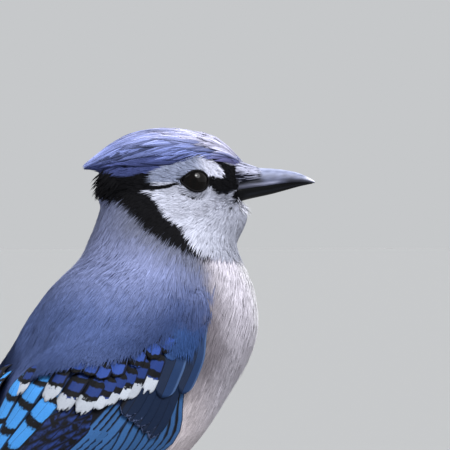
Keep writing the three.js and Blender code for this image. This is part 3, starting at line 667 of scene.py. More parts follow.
def with_sockets(points):
    """The skin raised to a lid round each eye and sunk inside it, so that the eyeball shows."""
    points = points.copy()
    for _, side in SIDES:
        ahead, above, out = eye_place(points, side)
        radius = np.hypot(ahead, above)
        rim = lid_reach(np.arctan2(above, ahead))
        chosen = (radius < LID_REACH) & (out > -1.5)
        lid = np.maximum(out, ball_height(rim) - 0.2)
        raised = mix(out, lid, smoothstep((LID_REACH - radius) / (LID_REACH - rim)))
        sunk = out - SOCKET_DEPTH * smoothstep((rim - radius) / SOCKET_WALL)
        fresh = np.where(radius > rim, raised, sunk)
        points[chosen] = eye_point(ahead, above, fresh, side)[chosen]
    return points


# Skin: every fleshy form modelled, joined into one surface and drawn in by the coat's depth

WING_FLESH_INSET = 1.2
FLESH_OVERLAP = 4
SKIN_FRONT = [14.4, 6.2, -7.6, 5.8, -0.8]
FEET_APART = 26
HEEL = (-8.5, 13.8, 129.5)
HIP = (0, 15.5, 158)
ANKLE = (-2, FEET_APART / 2, 116)
THIGH = [[0, 2.4], [0.1, 3.4], [0.35, 5.8], [0.65, 7.8], [1, 9]]
TAIL_PITCH = 61.5 * DEG
TAIL_ALONG = np.array([-np.cos(TAIL_PITCH), 0, -np.sin(TAIL_PITCH)])
TAIL_UP = np.array([-np.sin(TAIL_PITCH), 0, np.cos(TAIL_PITCH)])
TAIL_ROOT = BODY_CENTRE + 78.3 * ALONG + 14.6 * DORSAL
# Way along the tail, half width and half depth of the coverts over its root
TAIL_COVERTS = [[-8, 8, 4.6], [0, 9, 4.4], [8, 9.6, 3.7], [18, 9.8, 2.5], [25, 8.6, 1.2]]


def body_form():
    return loft(body_point(TORSO, ways_down(TORSO, 60), round_angles(72), RIGHT, -COAT_DEPTH))


def head_form(table, inset):
    return loft(head_ring(table, ways_down(table, 40, inset), round_angles(56), -inset))


def wing_form(side):
    s = ways_down(WING_FLESH, 40)
    upper, lower = curve(WING_FLESH, s)
    angle = mix(upper, lower, np.linspace(0, 1, 16)[None, :]) * DEG
    outer = body_point(WING, s, angle, side, -WING_FLESH_INSET)
    return loft(np.concatenate([outer, body_point(TORSO, s, angle, side, -FLESH_OVERLAP)[:, ::-1]], 1))


def scapular_form(side):
    degrees = np.linspace(6, 91, 54)[:, None]
    end, = curve(SCAPULAR_EDGE, degrees)
    slope, = curve(SCAPULAR_SLOPE, degrees)
    s = end - mix(slope + 2, 2, np.linspace(0, 1, 48)[None, :])
    outer = scapular_point(s, degrees, side, -COAT_DEPTH, 0.6)
    inner = body_point(TORSO, s, degrees * DEG, side, -FLESH_OVERLAP)
    return loft(np.concatenate([outer, inner[:, ::-1]], 1))


def leg_point(place, side):
    x, y, z = place
    return np.array([x, -side * y, z], float)


def thigh_form(side):
    heel, hip = leg_point(HEEL, side), leg_point(HIP, side)
    t = np.linspace(0, 1, 14)
    radius, = curve(THIGH, t)
    return loft(limb(heel + t[:, None] * (hip - heel), radius, 20))


def tail_point(along, right, up):
    return framed(TAIL_ROOT, (TAIL_ALONG, -AWAY, TAIL_UP), (along, right, up))


def tail_form():
    along, angle = ways_down(TAIL_COVERTS, 20), round_angles(32)
    width, depth = curve(TAIL_COVERTS, along)
    return loft(tail_point(along, width * np.cos(angle), depth * np.sin(angle)))


def remeshed(parts):
    """The parts' union as one even surface."""
    thing = linked("flesh", new_mesh("flesh", *merged(parts)))
    remesh = thing.modifiers.new("remesh", "REMESH")
    remesh.mode = "VOXEL"
    remesh.voxel_size = VOXEL * MM
    smooth = thing.modifiers.new("smooth", "SMOOTH")
    smooth.iterations = 8
    smooth.factor = 0.5
    bpy.context.view_layer.update()
    graph = bpy.context.evaluated_depsgraph_get()
    result = bpy.data.meshes.new_from_object(thing.evaluated_get(graph))
    bpy.data.objects.remove(thing)
    return result


def unwrapped(points):
    """A place on the unwrap of the skin's own shape for each point, body below and head above."""
    s, angle, side = body_place(points)
    forward, right, up = head_place(points)
    body = np.stack([0.5 + side * angle / (2 * np.pi) * 0.98, 0.02 + (s + 60) / 200 * 0.66], -1)
    around = np.arctan2(right, up + 4)
    head = np.stack([0.5 + around / (2 * np.pi) * 0.98, 0.72 + (forward + 42) / 66 * 0.26], -1)
    return np.where((neck_height(points) > 0)[:, None], head, body).clip(0.004, 0.996)


def skin_look():
    look = Look("plumage_ground")
    mottled = look.noise(900, 3)
    colour = look.toned("PlumageColour", look.ramp(mottled, 0.3, 0.7), [0.5] * 3, [0.85] * 3)
    return look.finish(colour, 0.9, 0.05, mottled, 0.0003)


FLESH_NODES = ("torso", "neck", "head", "crest", "thigh_right", "thigh_left")
flesh = [body_form(), head_form(HEAD[:-1] + [SKIN_FRONT], COAT_DEPTH), head_form(CREST, CREST_DEPTH)]
flesh += [tail_form(), head_form(NASAL, NASAL_INSET)]
for _, side in SIDES:
    flesh += [wing_form(side), scapular_form(side), thigh_form(side)]
skin_mesh = remeshed(flesh)
skin_mesh.name = "skin"
skin_points = with_sockets(points_of(skin_mesh))
skin_mesh.vertices.foreach_set("co", (skin_points * MM).astype(np.float32).ravel())
set_colours(skin_mesh, "PlumageColour", plumage_colours(skin_points))
set_uv(skin_mesh, "OFBake", unwrapped(skin_points))
skin_mesh.materials.clear()
new_piece("skin", skin_mesh, skin_look(), FLESH_NODES)
skin_tree = BVHTree.FromPolygons(
    [Vector(p) for p in skin_points], [tuple(f.vertices) for f in skin_mesh.polygons]
)


# Lie of the coat

GAPE = (13.5, -3.0)


def lie(points):
    """The way that the coat lies at each point, not yet laid flat on the skin."""
    forward, right, up = head_place(points)
    back = forward - GAPE[0] - 1.5
    rise = np.clip(up - GAPE[1], -40, 5)
    rise = rise - 0.5 * np.clip(-forward - 14, 0, 30) - 0.3 * np.clip(-up - 14, 0, 30)
    head = unit(back[:, None] * FORWARD + rise[:, None] * UP + 1.2 * right[:, None] * SIDEWAYS)
    away = unit(forward[:, None] * FORWARD + up[:, None] * UP)
    head = unit(head + away * (1.4 * near(np.hypot(forward, up) - 4.8, 1.8))[:, None])
    s, angle, _ = body_place(points)
    body = turned(np.broadcast_to(ALONG, points.shape), turn_at(s))
    shoulder = near(s + 24, 12) * past(angle / DEG, 50, 25) * until(angle / DEG, 97, 8)
    body = unit(body - 0.4 * shoulder[:, None] * DORSAL)
    return unit(tint(body, head, smoothstep(neck_height(points) / 14 + 0.5)))


def snapped(points):
    """Nearest point of the skin and its normal there, for each point."""
    places, normals = np.empty_like(points), np.empty_like(points)
    for i, p in enumerate(points):
        place, normal, _, _ = skin_tree.find_nearest(p)
        places[i], normals[i] = place, normal
    return places, normals


def flat(direction, normal):
    return unit(direction - (direction * normal).sum(-1, keepdims=True) * normal)


def skin_triangles():
    skin_mesh.calc_loop_triangles()
    index = np.empty(len(skin_mesh.loop_triangles) * 3, np.int32)
    skin_mesh.loop_triangles.foreach_get("vertices", index)
    corners = skin_points[index.reshape(-1, 3)]
    area = np.linalg.norm(np.cross(corners[:, 1] - corners[:, 0], corners[:, 2] - corners[:, 0]), axis=1) / 2
    return corners, area


def scatter(corners, area, density):
    """Random points on triangles, density of them to a square millimetre."""
    chosen = np.repeat(np.arange(len(area)), rng.poisson(area * density))
    a, b = rng.random((2, len(chosen), 1))
    fold = a + b > 1
    a, b = np.where(fold, 1 - a, a), np.where(fold, 1 - b, b)
    c = corners[chosen]
    return c[:, 0] + a * (c[:, 1] - c[:, 0]) + b * (c[:, 2] - c[:, 0])


# Tufts and strands: closed tapering three-sided forms along a path, whose last place is the tip

# Size of a strand's patch on the unwrap
PATCH = 0.003


def strand_piece(name, path, normals, width, thickness, colours, slot, relief=0.3):
    """Strands along paths with a colour for every place, a width each and a thickness as a share of it.

    They are shaded like the body under them, rounded across by relief."""
    count, places = path.shape[:2]
    rings = places - 1

    def laid_out(left, right, top):
        """Three corners for every ring and one for the tip, strand after strand."""
        corners = np.stack([left, right, top], 2)[:, :rings].reshape(count, -1, 3)
        return np.concatenate([corners, top[:, rings:]], 1).reshape(-1, 3)

    t = np.linspace(0, 1, places)
    taper = np.interp(t, [0, 0.35, 0.75, 1], [0.6, 1, 0.8, 0])
    across = unit(np.cross(normals, unit(np.gradient(path, axis=1))))
    side = across * (width[:, None] * taper / 2)[..., None]
    crown = normals * ((thickness * width)[:, None] * taper)[..., None]
    each = 3 * rings + 1
    walls = ((0, 2), (2, 1), (1, 0))
    quads = [[3 * r + i, 3 * r + j, 3 * r + 3 + j, 3 * r + 3 + i] for r in range(rings - 1) for i, j in walls]
    triangles = [[0, 1, 2]] + [[each - 4 + i, each - 4 + j, each - 1] for i, j in walls]
    start = (np.arange(count) * each)[:, None, None]
    quads = (np.array(quads)[None] + start).reshape(-1, 4)
    triangles = (np.array(triangles)[None] + start).reshape(-1, 3)
    mesh = new_mesh(name, laid_out(path + side, path - side, path + crown), quads, triangles)
    set_colours(mesh, "PlumageColour", laid_out(colours, colours, colours).clip(0.002, 0.95))
    patch_across = np.array([-1, 1, 0] * rings + [0]) * PATCH / 2
    patch_along = np.append(np.repeat(t[:rings], 3), 1) * PATCH
    patch = np.broadcast_to(np.stack([patch_across, patch_along], -1), (count, each, 2))
    set_uv(mesh, "OFBake", (unwrapped(path[:, 0])[:, None] + patch).reshape(-1, 2))
    shading = laid_out(unit(normals + relief * across), unit(normals - relief * across), normals)
    mesh.normals_split_custom_set_from_vertices(shading.astype(np.float32))
    return new_piece(name, mesh, coat)


def coat_look():
    look = Look("contour_feathers")
    fine = look.noise(2600, 2)
    colour = look.toned("PlumageColour", fine, [0.82] * 3, [1.12] * 3)
    return look.finish(colour, 0.8, 0.06, fine, 0.0001, 0.4)


coat = coat_look()
TUFT_STEPS = 3
TUFT_JITTER = 5 * DEG
# Depth of a tuft's root under the skin, its thickness as a share of its width
TUFT_SUNK = 0.35
TUFT_THICKNESS = 0.09
# Brightness of strands from root to tip: painted shade towards the root, where strands lie under others, a
# little lighter at the tip
TUFT_SHADE = (0.7, 0.94, 1.04, 1.08)
LOOSE_SHADE = (0.78, 0.94, 1.04, 1.08)
CREST_SHADE = (0.5, 0.82, 1.04, 1.14)


def tuft_paths(roots, length):
    """Places and normals of tufts that follow the skin and its lie."""
    place, normal = snapped(roots)
    swing = np.tan(rng.normal(0, TUFT_JITTER, len(roots)))[:, None]
    direction = flat(lie(place), normal)
    direction = unit(direction + swing * np.cross(normal, direction))
    places, normals = [place], [normal]
    for _ in range(TUFT_STEPS):
        place, normal = snapped(place + direction * (length / TUFT_STEPS)[:, None])
        fresh = lie(place) + swing * np.cross(normal, direction)
        direction = flat(unit(fresh) + 0.8 * direction, normal)
        places.append(place)
        normals.append(normal)
    return np.stack(places, 1), np.stack(normals, 1)


LID_CLEARANCE = 0.1


def clear_of_eyes(path):
    """Strands of which no place lies inside a lid's rim."""
    clear = np.ones(len(path), bool)
    for _, side in SIDES:
        ahead, above, out = eye_place(path.reshape(-1, 3), side)
        reach = np.hypot(ahead, above) - lid_reach(np.arctan2(above, ahead)) - LID_CLEARANCE
        inside = (reach < 0) & (out > -2)
        clear &= ~inside.reshape(path.shape[:2]).any(1)
    return clear


def shaded(colour, places, streak, shade=LOOSE_SHADE):
    """One colour a strand, spread over its places, darker at the root as painted shade, each strand its own
    tone.
    """
    tone = (1 + streak * rng.normal(size=len(colour)))[:, None, None]
    along = np.interp(np.linspace(0, 1, places), np.linspace(0, 1, len(shade)), shade)
    return colour[:, None] * tone * along[None, :, None]


def coat_piece(name, roots, length, width, rise, slot):
    path, normals = tuft_paths(roots, length)
    keep = clear_of_eyes(path)
    path, normals, width, rise = path[keep], normals[keep], width[keep], rise[keep]
    along = np.linspace(0, 1, TUFT_STEPS + 1)
    height = -TUFT_SUNK + (rise + TUFT_SUNK)[:, None] * along ** 0.8
    seen = mix(path[:, 2], path[:, 3], 0.4)
    colours = shaded(plumage_colours(seen), TUFT_STEPS + 1, 0.12, TUFT_SHADE)
    strand_piece(name, path + normals * height[..., None], normals, width, TUFT_THICKNESS, colours, slot)


MOST_TUFTS = 12000
# Way back from the body's middle to where the breast stands out most
BREAST_AT = 29


def covered_by_wing(s, theta):
    upper = np.interp(s, [-25, -8, 12, 24, 34, 80], [97, 94, 84, 66, 52, 62])
    return (theta > upper) & (theta < 96) & (s > 8)


# Tufts to a square millimetre
BODY_DENSITY, HEAD_DENSITY, FACE_DENSITY, CAP_DENSITY, COVERED_DENSITY = 2.5, 4.0, 6.6, 1.4, 0.2


def coat_density(points):
    """Closest on the face, sparse under crest strands and wing, none under the bill's root."""
    forward, _, up = head_place(points)
    s, angle, _ = body_place(points)
    on_head = neck_height(points) > -2
    cap_edge, = curve(CAP_EDGE, forward)
    density = np.where(on_head, HEAD_DENSITY, BODY_DENSITY)
    density = np.where(on_head & (forward > -12) & (up > -12), FACE_DENSITY, density)
    density = np.where(on_head & (up > cap_edge + 1) & (forward < 11), CAP_DENSITY, density)
    density = np.where(covered_by_wing(s, angle / DEG) & ~on_head, COVERED_DENSITY, density)
    return np.where(on_head & (forward > 14.2) & (up < -1.5), 0, density)


def grow_coat():
    """The short contour feathers of head and body."""
    corners, area = skin_triangles()
    roots = scatter(corners, area, coat_density(corners.mean(1)))
    forward, _, up = head_place(roots)
    neck = neck_height(roots)
    on_head = past(neck, -8, 12)
    face = past(forward, -16, 8) * past(up, -16, 8) * on_head
    closeness = past(forward, -8, 22)
    count = len(roots)
    length = mix(mix(9.0, 6.6, on_head), mix(5.4, 2.7, closeness), face) * rng.uniform(0.8, 1.2, count)
    s, angle, _ = body_place(roots)
    degrees = angle / DEG
    length = length * (1 + 0.3 * past(degrees, 84, 20) * (1 - on_head))
    width = mix(mix(0.44, 0.38, on_head), 0.27, face) * rng.uniform(0.75, 1.25, count)
    hind_neck = near(neck + 9, 9) * until(degrees, 60, 30)
    rise = mix(mix(0.42, 0.45, on_head), 0.36, face) * rng.uniform(0.8, 1.1, count) + 1.1 * hind_neck
    rise = rise + 1.6 * near(s + BREAST_AT, 13) * past(degrees, 105, 40) * (1 - on_head)
    parts = np.array_split(np.argsort(neck), int(np.ceil(count / MOST_TUFTS)))
    for number, chosen in enumerate(parts):
        slot = "head_feathers" if np.median(neck[chosen]) > 0 else "body_feathers"
        coat_piece(f"coat_{number + 1}", roots[chosen], length[chosen], width[chosen], rise[chosen], slot)


LESSER_BLUE = srgb(42, 68, 116)
SCAPULAR_TUFTS = 6800
SCAPULAR_SUNK = 1.35


def grow_scapulars(side_name, side):
    """The tufts of the back that hang over the wing's coverts."""
    count = SCAPULAR_TUFTS
    degrees = rng.uniform(9, 90, count)
    end, = curve(SCAPULAR_EDGE, degrees)
    over_coverts = past(degrees, 14, 10) * until(degrees, 74, 8)
    root = end - rng.uniform(7, 24, count) + 1.3 * over_coverts
    length = rng.uniform(6.5, 9.5, count)
    t = np.linspace(0, 1, TUFT_STEPS + 1)[None, :]
    drift = rng.normal(0, 2.0, (count, 1)) + 4 * past(degrees[:, None], 72, 14)
    s, angle = root[:, None] + length[:, None] * t, degrees[:, None] + drift * t
    nearness = 1 - past(end - root, 7, 17)
    rise = mix(-0.75, rng.uniform(0.15, 0.45, count) + 0.35 * over_coverts, nearness)[:, None]
    low = scapular_point(s, angle, side, -SCAPULAR_SUNK)
    normals = unit(scapular_point(s, angle, side, 0.1) - low)
    path = low + normals * ((rise + SCAPULAR_SUNK) * t ** 0.8)[..., None]
    blue = scapular_point(s[:, 2], np.minimum(angle[:, 2], 80), side, 0.0)
    wrist = past(degrees, 74, 8) * past(root, -22, 12)
    colours = shaded(tint(plumage_colours(blue), LESSER_BLUE, 0.8 * wrist), TUFT_STEPS + 1, 0.12, TUFT_SHADE)
    width = rng.uniform(0.34, 0.5, count)
    strand_piece(f"scapulars_{side_name}", path, normals, width, TUFT_THICKNESS, colours, "body_feathers")


# Crest: long loose feathers, each a clump of barbs drawn together at its tip

CREST_CLUMPS = 420
CREST_BARBS = 15
CREST_PLACES = 6
CREST_SPREAD = 100 * DEG
# How fast the lower crest feathers swing down: angle for each millimetre of their length
CREST_SWEEP = 1.7 * DEG
CREST_SUNK = 0.9
# Way back from the eye to the crest's tip
CREST_REAR = 38.3


def grow_crest():
    first = rng.uniform(-25, 15.3, CREST_CLUMPS)
    angle = rng.uniform(-CREST_SPREAD, CREST_SPREAD, CREST_CLUMPS)
    length = np.interp(first, [-26, -10, 4, 15.3], [14, 21, 16, 8]) * rng.uniform(0.85, 1.12, CREST_CLUMPS)
    length = np.minimum(length, first + CREST_REAR)
    spread = np.interp(first, [-20, 5, 13, 15], [1.5, 1.4, 0.9, 0.7])
    lowness = past(np.abs(angle) / DEG, 35, 45)
    tone = np.maximum(1 + (0.15 + 0.3 * lowness) * rng.normal(size=CREST_CLUMPS), 0.3)

    def each(values):
        return np.repeat(values, CREST_BARBS)

    count = CREST_CLUMPS * CREST_BARBS
    place = np.tile(np.linspace(-1, 1, CREST_BARBS), CREST_CLUMPS) + rng.normal(0, 0.1, count)
    begin = 0.3 * np.abs(place) * rng.random(count)
    end = 1 - 0.3 * np.abs(place) * rng.random(count)
    t = begin[:, None] + (end - begin)[:, None] * np.linspace(0, 1, CREST_PLACES)
    forward = each(first)[:, None] - each(length)[:, None] * t
    sweep = np.sign(angle) * CREST_SWEEP * lowness * length
    around = each(angle)[:, None] + each(sweep)[:, None] * (t - 0.3)
    low = head_ring(CREST, forward, around)
    normals = unit(head_ring(CREST, forward, around, 1.0) - low)
    side = unit(np.cross(normals, np.gradient(low, axis=1)))
    shape = (0.4 + 0.6 * smoothstep(t / 0.5)) * (1 - 0.75 * past(t, 0.45, 0.55))
    path = low + side * (place * each(spread))[:, None, None] * shape[..., None]
    rise = each(rng.uniform(-0.1, 0.45, CREST_CLUMPS)) + 0.1 * rng.normal(size=count)
    height = -CREST_SUNK + (rise + CREST_SUNK)[:, None] * t ** 0.7 - 0.2 * (place ** 2)[:, None]
    on_skin, skin_normals = (found.reshape(path.shape) for found in snapped(path.reshape(-1, 3)))
    hugging = past(np.abs(around) / DEG, 60, 20)[..., None]
    on_skin = on_skin + skin_normals * (height + 0.7)[..., None]
    path = mix(path + normals * height[..., None], on_skin, hugging)
    normals = unit(mix(normals, skin_normals, hugging))
    middle = path[:, 3]
    mid_forward, _, mid_up = head_place(middle)
    fringe = 0.3 * (1 - each(lowness)) * past(np.abs(place), 0.55, 0.4) * rng.random(count)
    colour = tint(cap_colour(middle, mid_forward, mid_up), CREST_FRINGE, fringe)
    # Painted shadow on the lower side of each clump and a painted highlight on its upper side
    under = -place * np.sign(side[:, 3, 2])
    relief = 1 - 0.55 * past(under, 0.45, 0.4) + 0.12 * past(-under, 0.5, 0.4)
    colours = shaded(colour * (each(tone) * relief)[:, None], CREST_PLACES, 0.13, CREST_SHADE)
    cap_edge, = curve(CAP_EDGE, mid_forward)
    cap_edge = cap_edge - 1.1 * until(mid_forward, -13, 5)
    keep = clear_of_eyes(path) & (mid_up > cap_edge + rng.uniform(-0.2, 0.7, count))
    width = rng.uniform(0.26, 0.42, count)
    kept = (part[keep] for part in (path, normals, width))
    strand_piece("crest_strands", *kept, 0.3, colours[keep], "crest_feathers", 0.5)


# Loose tufts and bristles: the ragged nape, the bristles over the bill's root, the hairs of the chin

LOOSE_SUNK = 0.5


def loose_paths(roots, direction, length, rise, bend, places):
    """Paths that leave the skin along a direction, rising off it and bending towards another way."""
    root, normal = snapped(roots)
    run = flat(direction, normal)
    t = np.linspace(0, 1, places)[None, :, None]
    out = -LOOSE_SUNK + (rise[:, None, None] + LOOSE_SUNK) * t ** 1.3
    path = root[:, None] + run[:, None] * length[:, None, None] * t + normal[:, None] * out
    return path + bend[:, None] * t ** 2, np.repeat(normal[:, None], places, 1)


NAPE_TUFTS, NAPE_PLACES, NAPE_HALF_WIDTH = 900, 5, 13


def grow_nape():
    count = NAPE_TUFTS
    up = rng.uniform(-12, 3, count)
    forward = np.interp(up, [-12, -6, 0, 3], [-22, -28.6, -29.6, -28]) + rng.uniform(0, 5, count)
    roots = head_point(forward, rng.uniform(-1, 1, count) * NAPE_HALF_WIDTH, up)
    direction = -0.8 * FORWARD - 0.6 * UP + 0.25 * rng.normal(size=(count, 1)) * SIDEWAYS
    direction = direction + 0.2 * rng.normal(size=(count, 1)) * UP
    length = rng.uniform(3.6, 6.4, count)
    bend = np.tile(-0.4 * FORWARD - 1.4 * UP, (count, 1))
    path, normals = loose_paths(roots, direction, length, rng.uniform(0.5, 1.5, count), bend, NAPE_PLACES)
    colours = shaded(plumage_colours(path[:, 3]), NAPE_PLACES, 0.1)
    tip_forward, _, tip_up = head_place(path[:, -1])
    dark = (colours[:, 2].mean(-1) < 0.02) & ((tip_up < 1.5) | (tip_forward > -30))
    width = rng.uniform(0.4, 0.7, count)
    strand_piece("nape_tufts", path[dark], normals[dark], width[dark], 0.3, colours[dark], "head_feathers")


BILL_BRISTLES, BRISTLE_PLACES = 620, 5
BRISTLE_DUSK = srgb(96, 98, 116)
BRISTLE_DARK = srgb(26, 27, 38)


def grow_bristles():
    """Whitish and dark bristles that lie forward over the root of the bill."""
    count = BILL_BRISTLES
    angle = rng.uniform(-118, 118, count) * DEG
    begin = rng.uniform(12.8, 16.5, count)
    side = np.abs(np.sin(angle))
    end = np.minimum(begin + rng.uniform(4.5, 7.5, count), 19.6 + 2.6 * side + rng.uniform(-1.2, 0.6, count))
    t = np.linspace(0, 1, BRISTLE_PLACES)
    forward = begin[:, None] + (end - begin)[:, None] * t
    narrowing = angle[:, None] * (1 - 0.1 * t) + rng.normal(0, 0.07, (count, 1)) * t
    low = head_ring(NASAL, forward, narrowing, -0.4)
    normals = unit(head_ring(NASAL, forward, narrowing, 0.6) - low)
    height = rng.uniform(0.35, 0.95, count)[:, None] * (1 - 0.35 * t) * smoothstep(t * 3 + 0.2)
    low_down = past(np.abs(angle) / DEG, 66, 30)
    dark = rng.random(count) < 0.14 + 0.4 * low_down
    colour = np.where(dark[:, None], BRISTLE_DARK, tint(BRISTLE, BRISTLE_DUSK, 0.8 * low_down))
    width = rng.uniform(0.2, 0.34, count)
    path = low + normals * height[..., None]
    colours = shaded(colour, BRISTLE_PLACES, 0.14)
    strand_piece("bill_bristles", path, normals, width, 0.4, colours, "head_feathers")


CHIN_HAIRS, CHIN_PLACES, CHIN_HALF_WIDTH = 300, 6, 4.5
CHIN_PALE = srgb(206, 208, 222)
CHIN_DARK = srgb(60, 60, 76)


def grow_chin():
    count = CHIN_HAIRS
    forward = rng.uniform(12.5, 15.5, count)
    across = rng.uniform(-1, 1, count) * CHIN_HALF_WIDTH
    roots = head_point(forward, across, rng.uniform(-8, -4.5, count))
    direction = 0.9 * FORWARD - 0.5 * UP + 0.15 * rng.normal(size=(count, 1)) * SIDEWAYS
    bend = -rng.uniform(0.2, 1.8, (count, 1)) * UP - 0.3 * FORWARD
    length = rng.uniform(2, 4.8, count)
    path, normals = loose_paths(roots, direction, length, rng.uniform(0.4, 2.4, count), bend, CHIN_PLACES)
    dark = rng.random((count, 1)) < 0.35
    colours = shaded(np.where(dark, CHIN_DARK, CHIN_PALE), CHIN_PLACES, 0.1)
    width = rng.uniform(0.13, 0.22, count)
    strand_piece("chin_hairs", path, normals, width, 0.5, colours, "head_feathers")


grow_coat()
for side_name, side in SIDES:
    grow_scapulars(side_name, side)
grow_crest()
grow_nape()
grow_bristles()
grow_chin()


# Eyeballs and lids, which lie on the skin

# Way out from which the skin is looked for under a lid
LID_RAY = 10
# The lower lid's pale edge: from where to where round the eye, way beyond the lid, thickness, beading
LID_EDGE = (1.4 * np.pi, 1.66 * np.pi, 0.42, 0.2, 0.4)


def eye_form(side):
    polar = np.linspace(0.02, np.pi - 0.02, 40)[:, None]
    a = round_angles(48)
    wide, deep = EYE_RADIUS * np.sin(polar), EYE_DEPTH * np.cos(polar)
    return loft(eye_point(wide * np.cos(a), wide * np.sin(a), deep, side))


def lid_form(side, start, end, beyond, radius, beads=0.0):
    """A rim along part of the lid's outline, this far beyond it and this thick."""
    a = np.linspace(start, end, 120)
    ahead, above = lid_outline(a)
    reach = np.hypot(ahead, above)
    ahead, above = ahead * (1 + beyond / reach), above * (1 + beyond / reach)
    _, _, _, gaze = eye_axes(side)
    out = ball_height(np.hypot(ahead, above))
    for i, p in enumerate(eye_point(ahead * 1.06, above * 1.06, out + LID_RAY, side)):
        place, _, _, distance = skin_tree.ray_cast(Vector(p), Vector(-gaze))
        if place is not None:
            out[i] = max(out[i], out[i] + LID_RAY - distance - 0.05)
    whole = end - start > 6
    out = np.convolve(np.pad(out, 4, mode="wrap" if whole else "edge"), np.ones(9) / 9, "valid")
    path = eye_point(ahead, above, out, side)
    return loft(limb_about(path, radius * (1 + beads * np.sin(a * 34)), gaze, 10))


def limb_about(path, radii, across, sides):
    """Rings of a round limb along a path that bends in the plane square to across."""
    along = unit(np.gradient(path, axis=0))
    third = unit(np.cross(along, across))
    a = round_angles(sides)[..., None]
    return path[:, None] + radii[:, None, None] * (np.cos(a) * across + np.sin(a) * third[:, None])


def lid_material(name, dark, pale):
    return grained_look(name, 2600, 3, dark, pale, 0.6, 0.08, (0.4, 0.65), 0.0002, 0.8)


def make_eyes():
    eye_look = grained_look("eye_dark", 1400, 4, srgb(2, 2, 2), srgb(9, 5, 4), 0.03, 0.13, (0.35, 0.7))
    lid_look = lid_material("lid_skin", srgb(3, 3, 4), srgb(12, 11, 14))
    pale_look = lid_material("lid_edge", srgb(110, 112, 126), srgb(176, 178, 194))
    for side_name, side in SIDES:
        rim = lid_form(side, 0, 2 * np.pi, 0, LID_RADIUS)
        pale_edge = lid_form(side, *LID_EDGE)
        new_piece(f"eye_{side_name}_ball", eye_form(side), eye_look, (f"eye_{side_name}",))
        new_piece(f"lid_{side_name}", rim, lid_look)
        new_piece(f"lid_edge_{side_name}", pale_edge, pale_look)


make_eyes()


# Feather vanes

VANE_ALONG = 20
VANE_ACROSS = 12
VANE_EDGE = [[0, 0.35], [0.12, 0.75], [0.35, 0.97], [0.7, 1], [0.86, 0.98], [0.94, 0.9], [1, 0.62]]
VANE_THICKNESS = 0.2
SHAFT_HEIGHT, SHAFT_REACH = 0.1, 0.12
# How far a tip's corners are rounded back, as a share of the vane's length
TIP_ROUNDING = 0.06


def vane_form(place, half_width, camber, tilt, fray=0.0, lean=0.0):
    """Grid of one feather: points, faces, and its own way across and along, 0 to 1."""
    t = np.linspace(0, 1, VANE_ALONG + 1)[:, None]
    a = np.linspace(-1, 1, VANE_ACROSS + 1)[None, :]
    share, = curve(VANE_EDGE, t)
    across = half_width * (share * a + lean * (1 - share))
    height = tilt * share * a - camber * (share * a) ** 2
    ridge = SHAFT_HEIGHT * near(a, SHAFT_REACH) * (1 - t)
    rounded = TIP_ROUNDING * a ** 2 * past(t, 0.5, 0.5)
    ragged = fray * rng.random(a.shape) * past(t, 0.75, 0.25)
    way = t - rounded - ragged
    top = place(way, across, height + ridge)
    bottom = place(way, across, height - VANE_THICKNESS)
    rows, columns = VANE_ALONG + 1, VANE_ACROSS + 1
    index = np.arange(rows * columns).reshape(rows, columns)
    upper = np.stack([index[:-1, :-1], index[:-1, 1:], index[1:, 1:], index[1:, :-1]], -1).reshape(-1, 4)
    lower = upper[:, ::-1] + rows * columns
    rim = np.concatenate([index[0, :-1], index[:-1, -1], index[-1, :0:-1], index[:0:-1, 0]])
    after = np.roll(rim, -1)
    walls = np.stack([rim, rim + rows * columns, after + rows * columns, after], -1)
    points = np.concatenate([top.reshape(-1, 3), bottom.reshape(-1, 3)])
    own = np.stack(np.broadcast_arrays((a + 1) / 2, t), -1).reshape(-1, 2)
    return points, np.concatenate([upper, lower, walls]), np.concatenate([own, own])


def feather_piece(name, vanes, material, nodes, flip):
    """One piece of many vanes, with a Vane map, an atlas for the bake and a random tone for each."""
    points, quads, own, atlas, tone, start = [], [], [], [], [], 0
    grid = int(np.ceil(np.sqrt(len(vanes))))
    for k, (p, q, uv) in enumerate(vanes):
        points.append(p)
        quads.append((q[:, ::-1] if flip else q) + start)
        own.append(uv)
        atlas.append((np.array([k % grid, k // grid]) + 0.06 + 0.88 * uv) / grid)
        tone.append(np.broadcast_to(rng.random(3), (len(p), 3)))
        start += len(p)
    points, quads, own, atlas, tone = map(np.concatenate, (points, quads, own, atlas, tone))
    mesh = new_mesh(name, points, quads, NO_TRIANGLES)
    set_uv(mesh, "Vane", own)
    set_uv(mesh, "OFBake", atlas)
    set_colours(mesh, "Tone", tone)
    return new_piece(name, mesh, material, nodes)


# Paints of the barred feathers
COBALT = srgb(43, 68, 136)
COBALT_DARK = srgb(30, 50, 106)
AZURE = srgb(60, 132, 202)
STEEL_BLUE = srgb(46, 84, 132)
STEEL_PALE = srgb(66, 102, 148)
NAVY = srgb(14, 28, 52)
DUSK = srgb(14, 15, 22)
WHITE = srgb(162, 168, 179)
COVERT_TIP = srgb(74, 86, 120)
ALULA_BLUE = srgb(24, 44, 78)
ALULA_EDGE = srgb(66, 90, 130)
TAIL_BLUE = srgb(46, 104, 184)


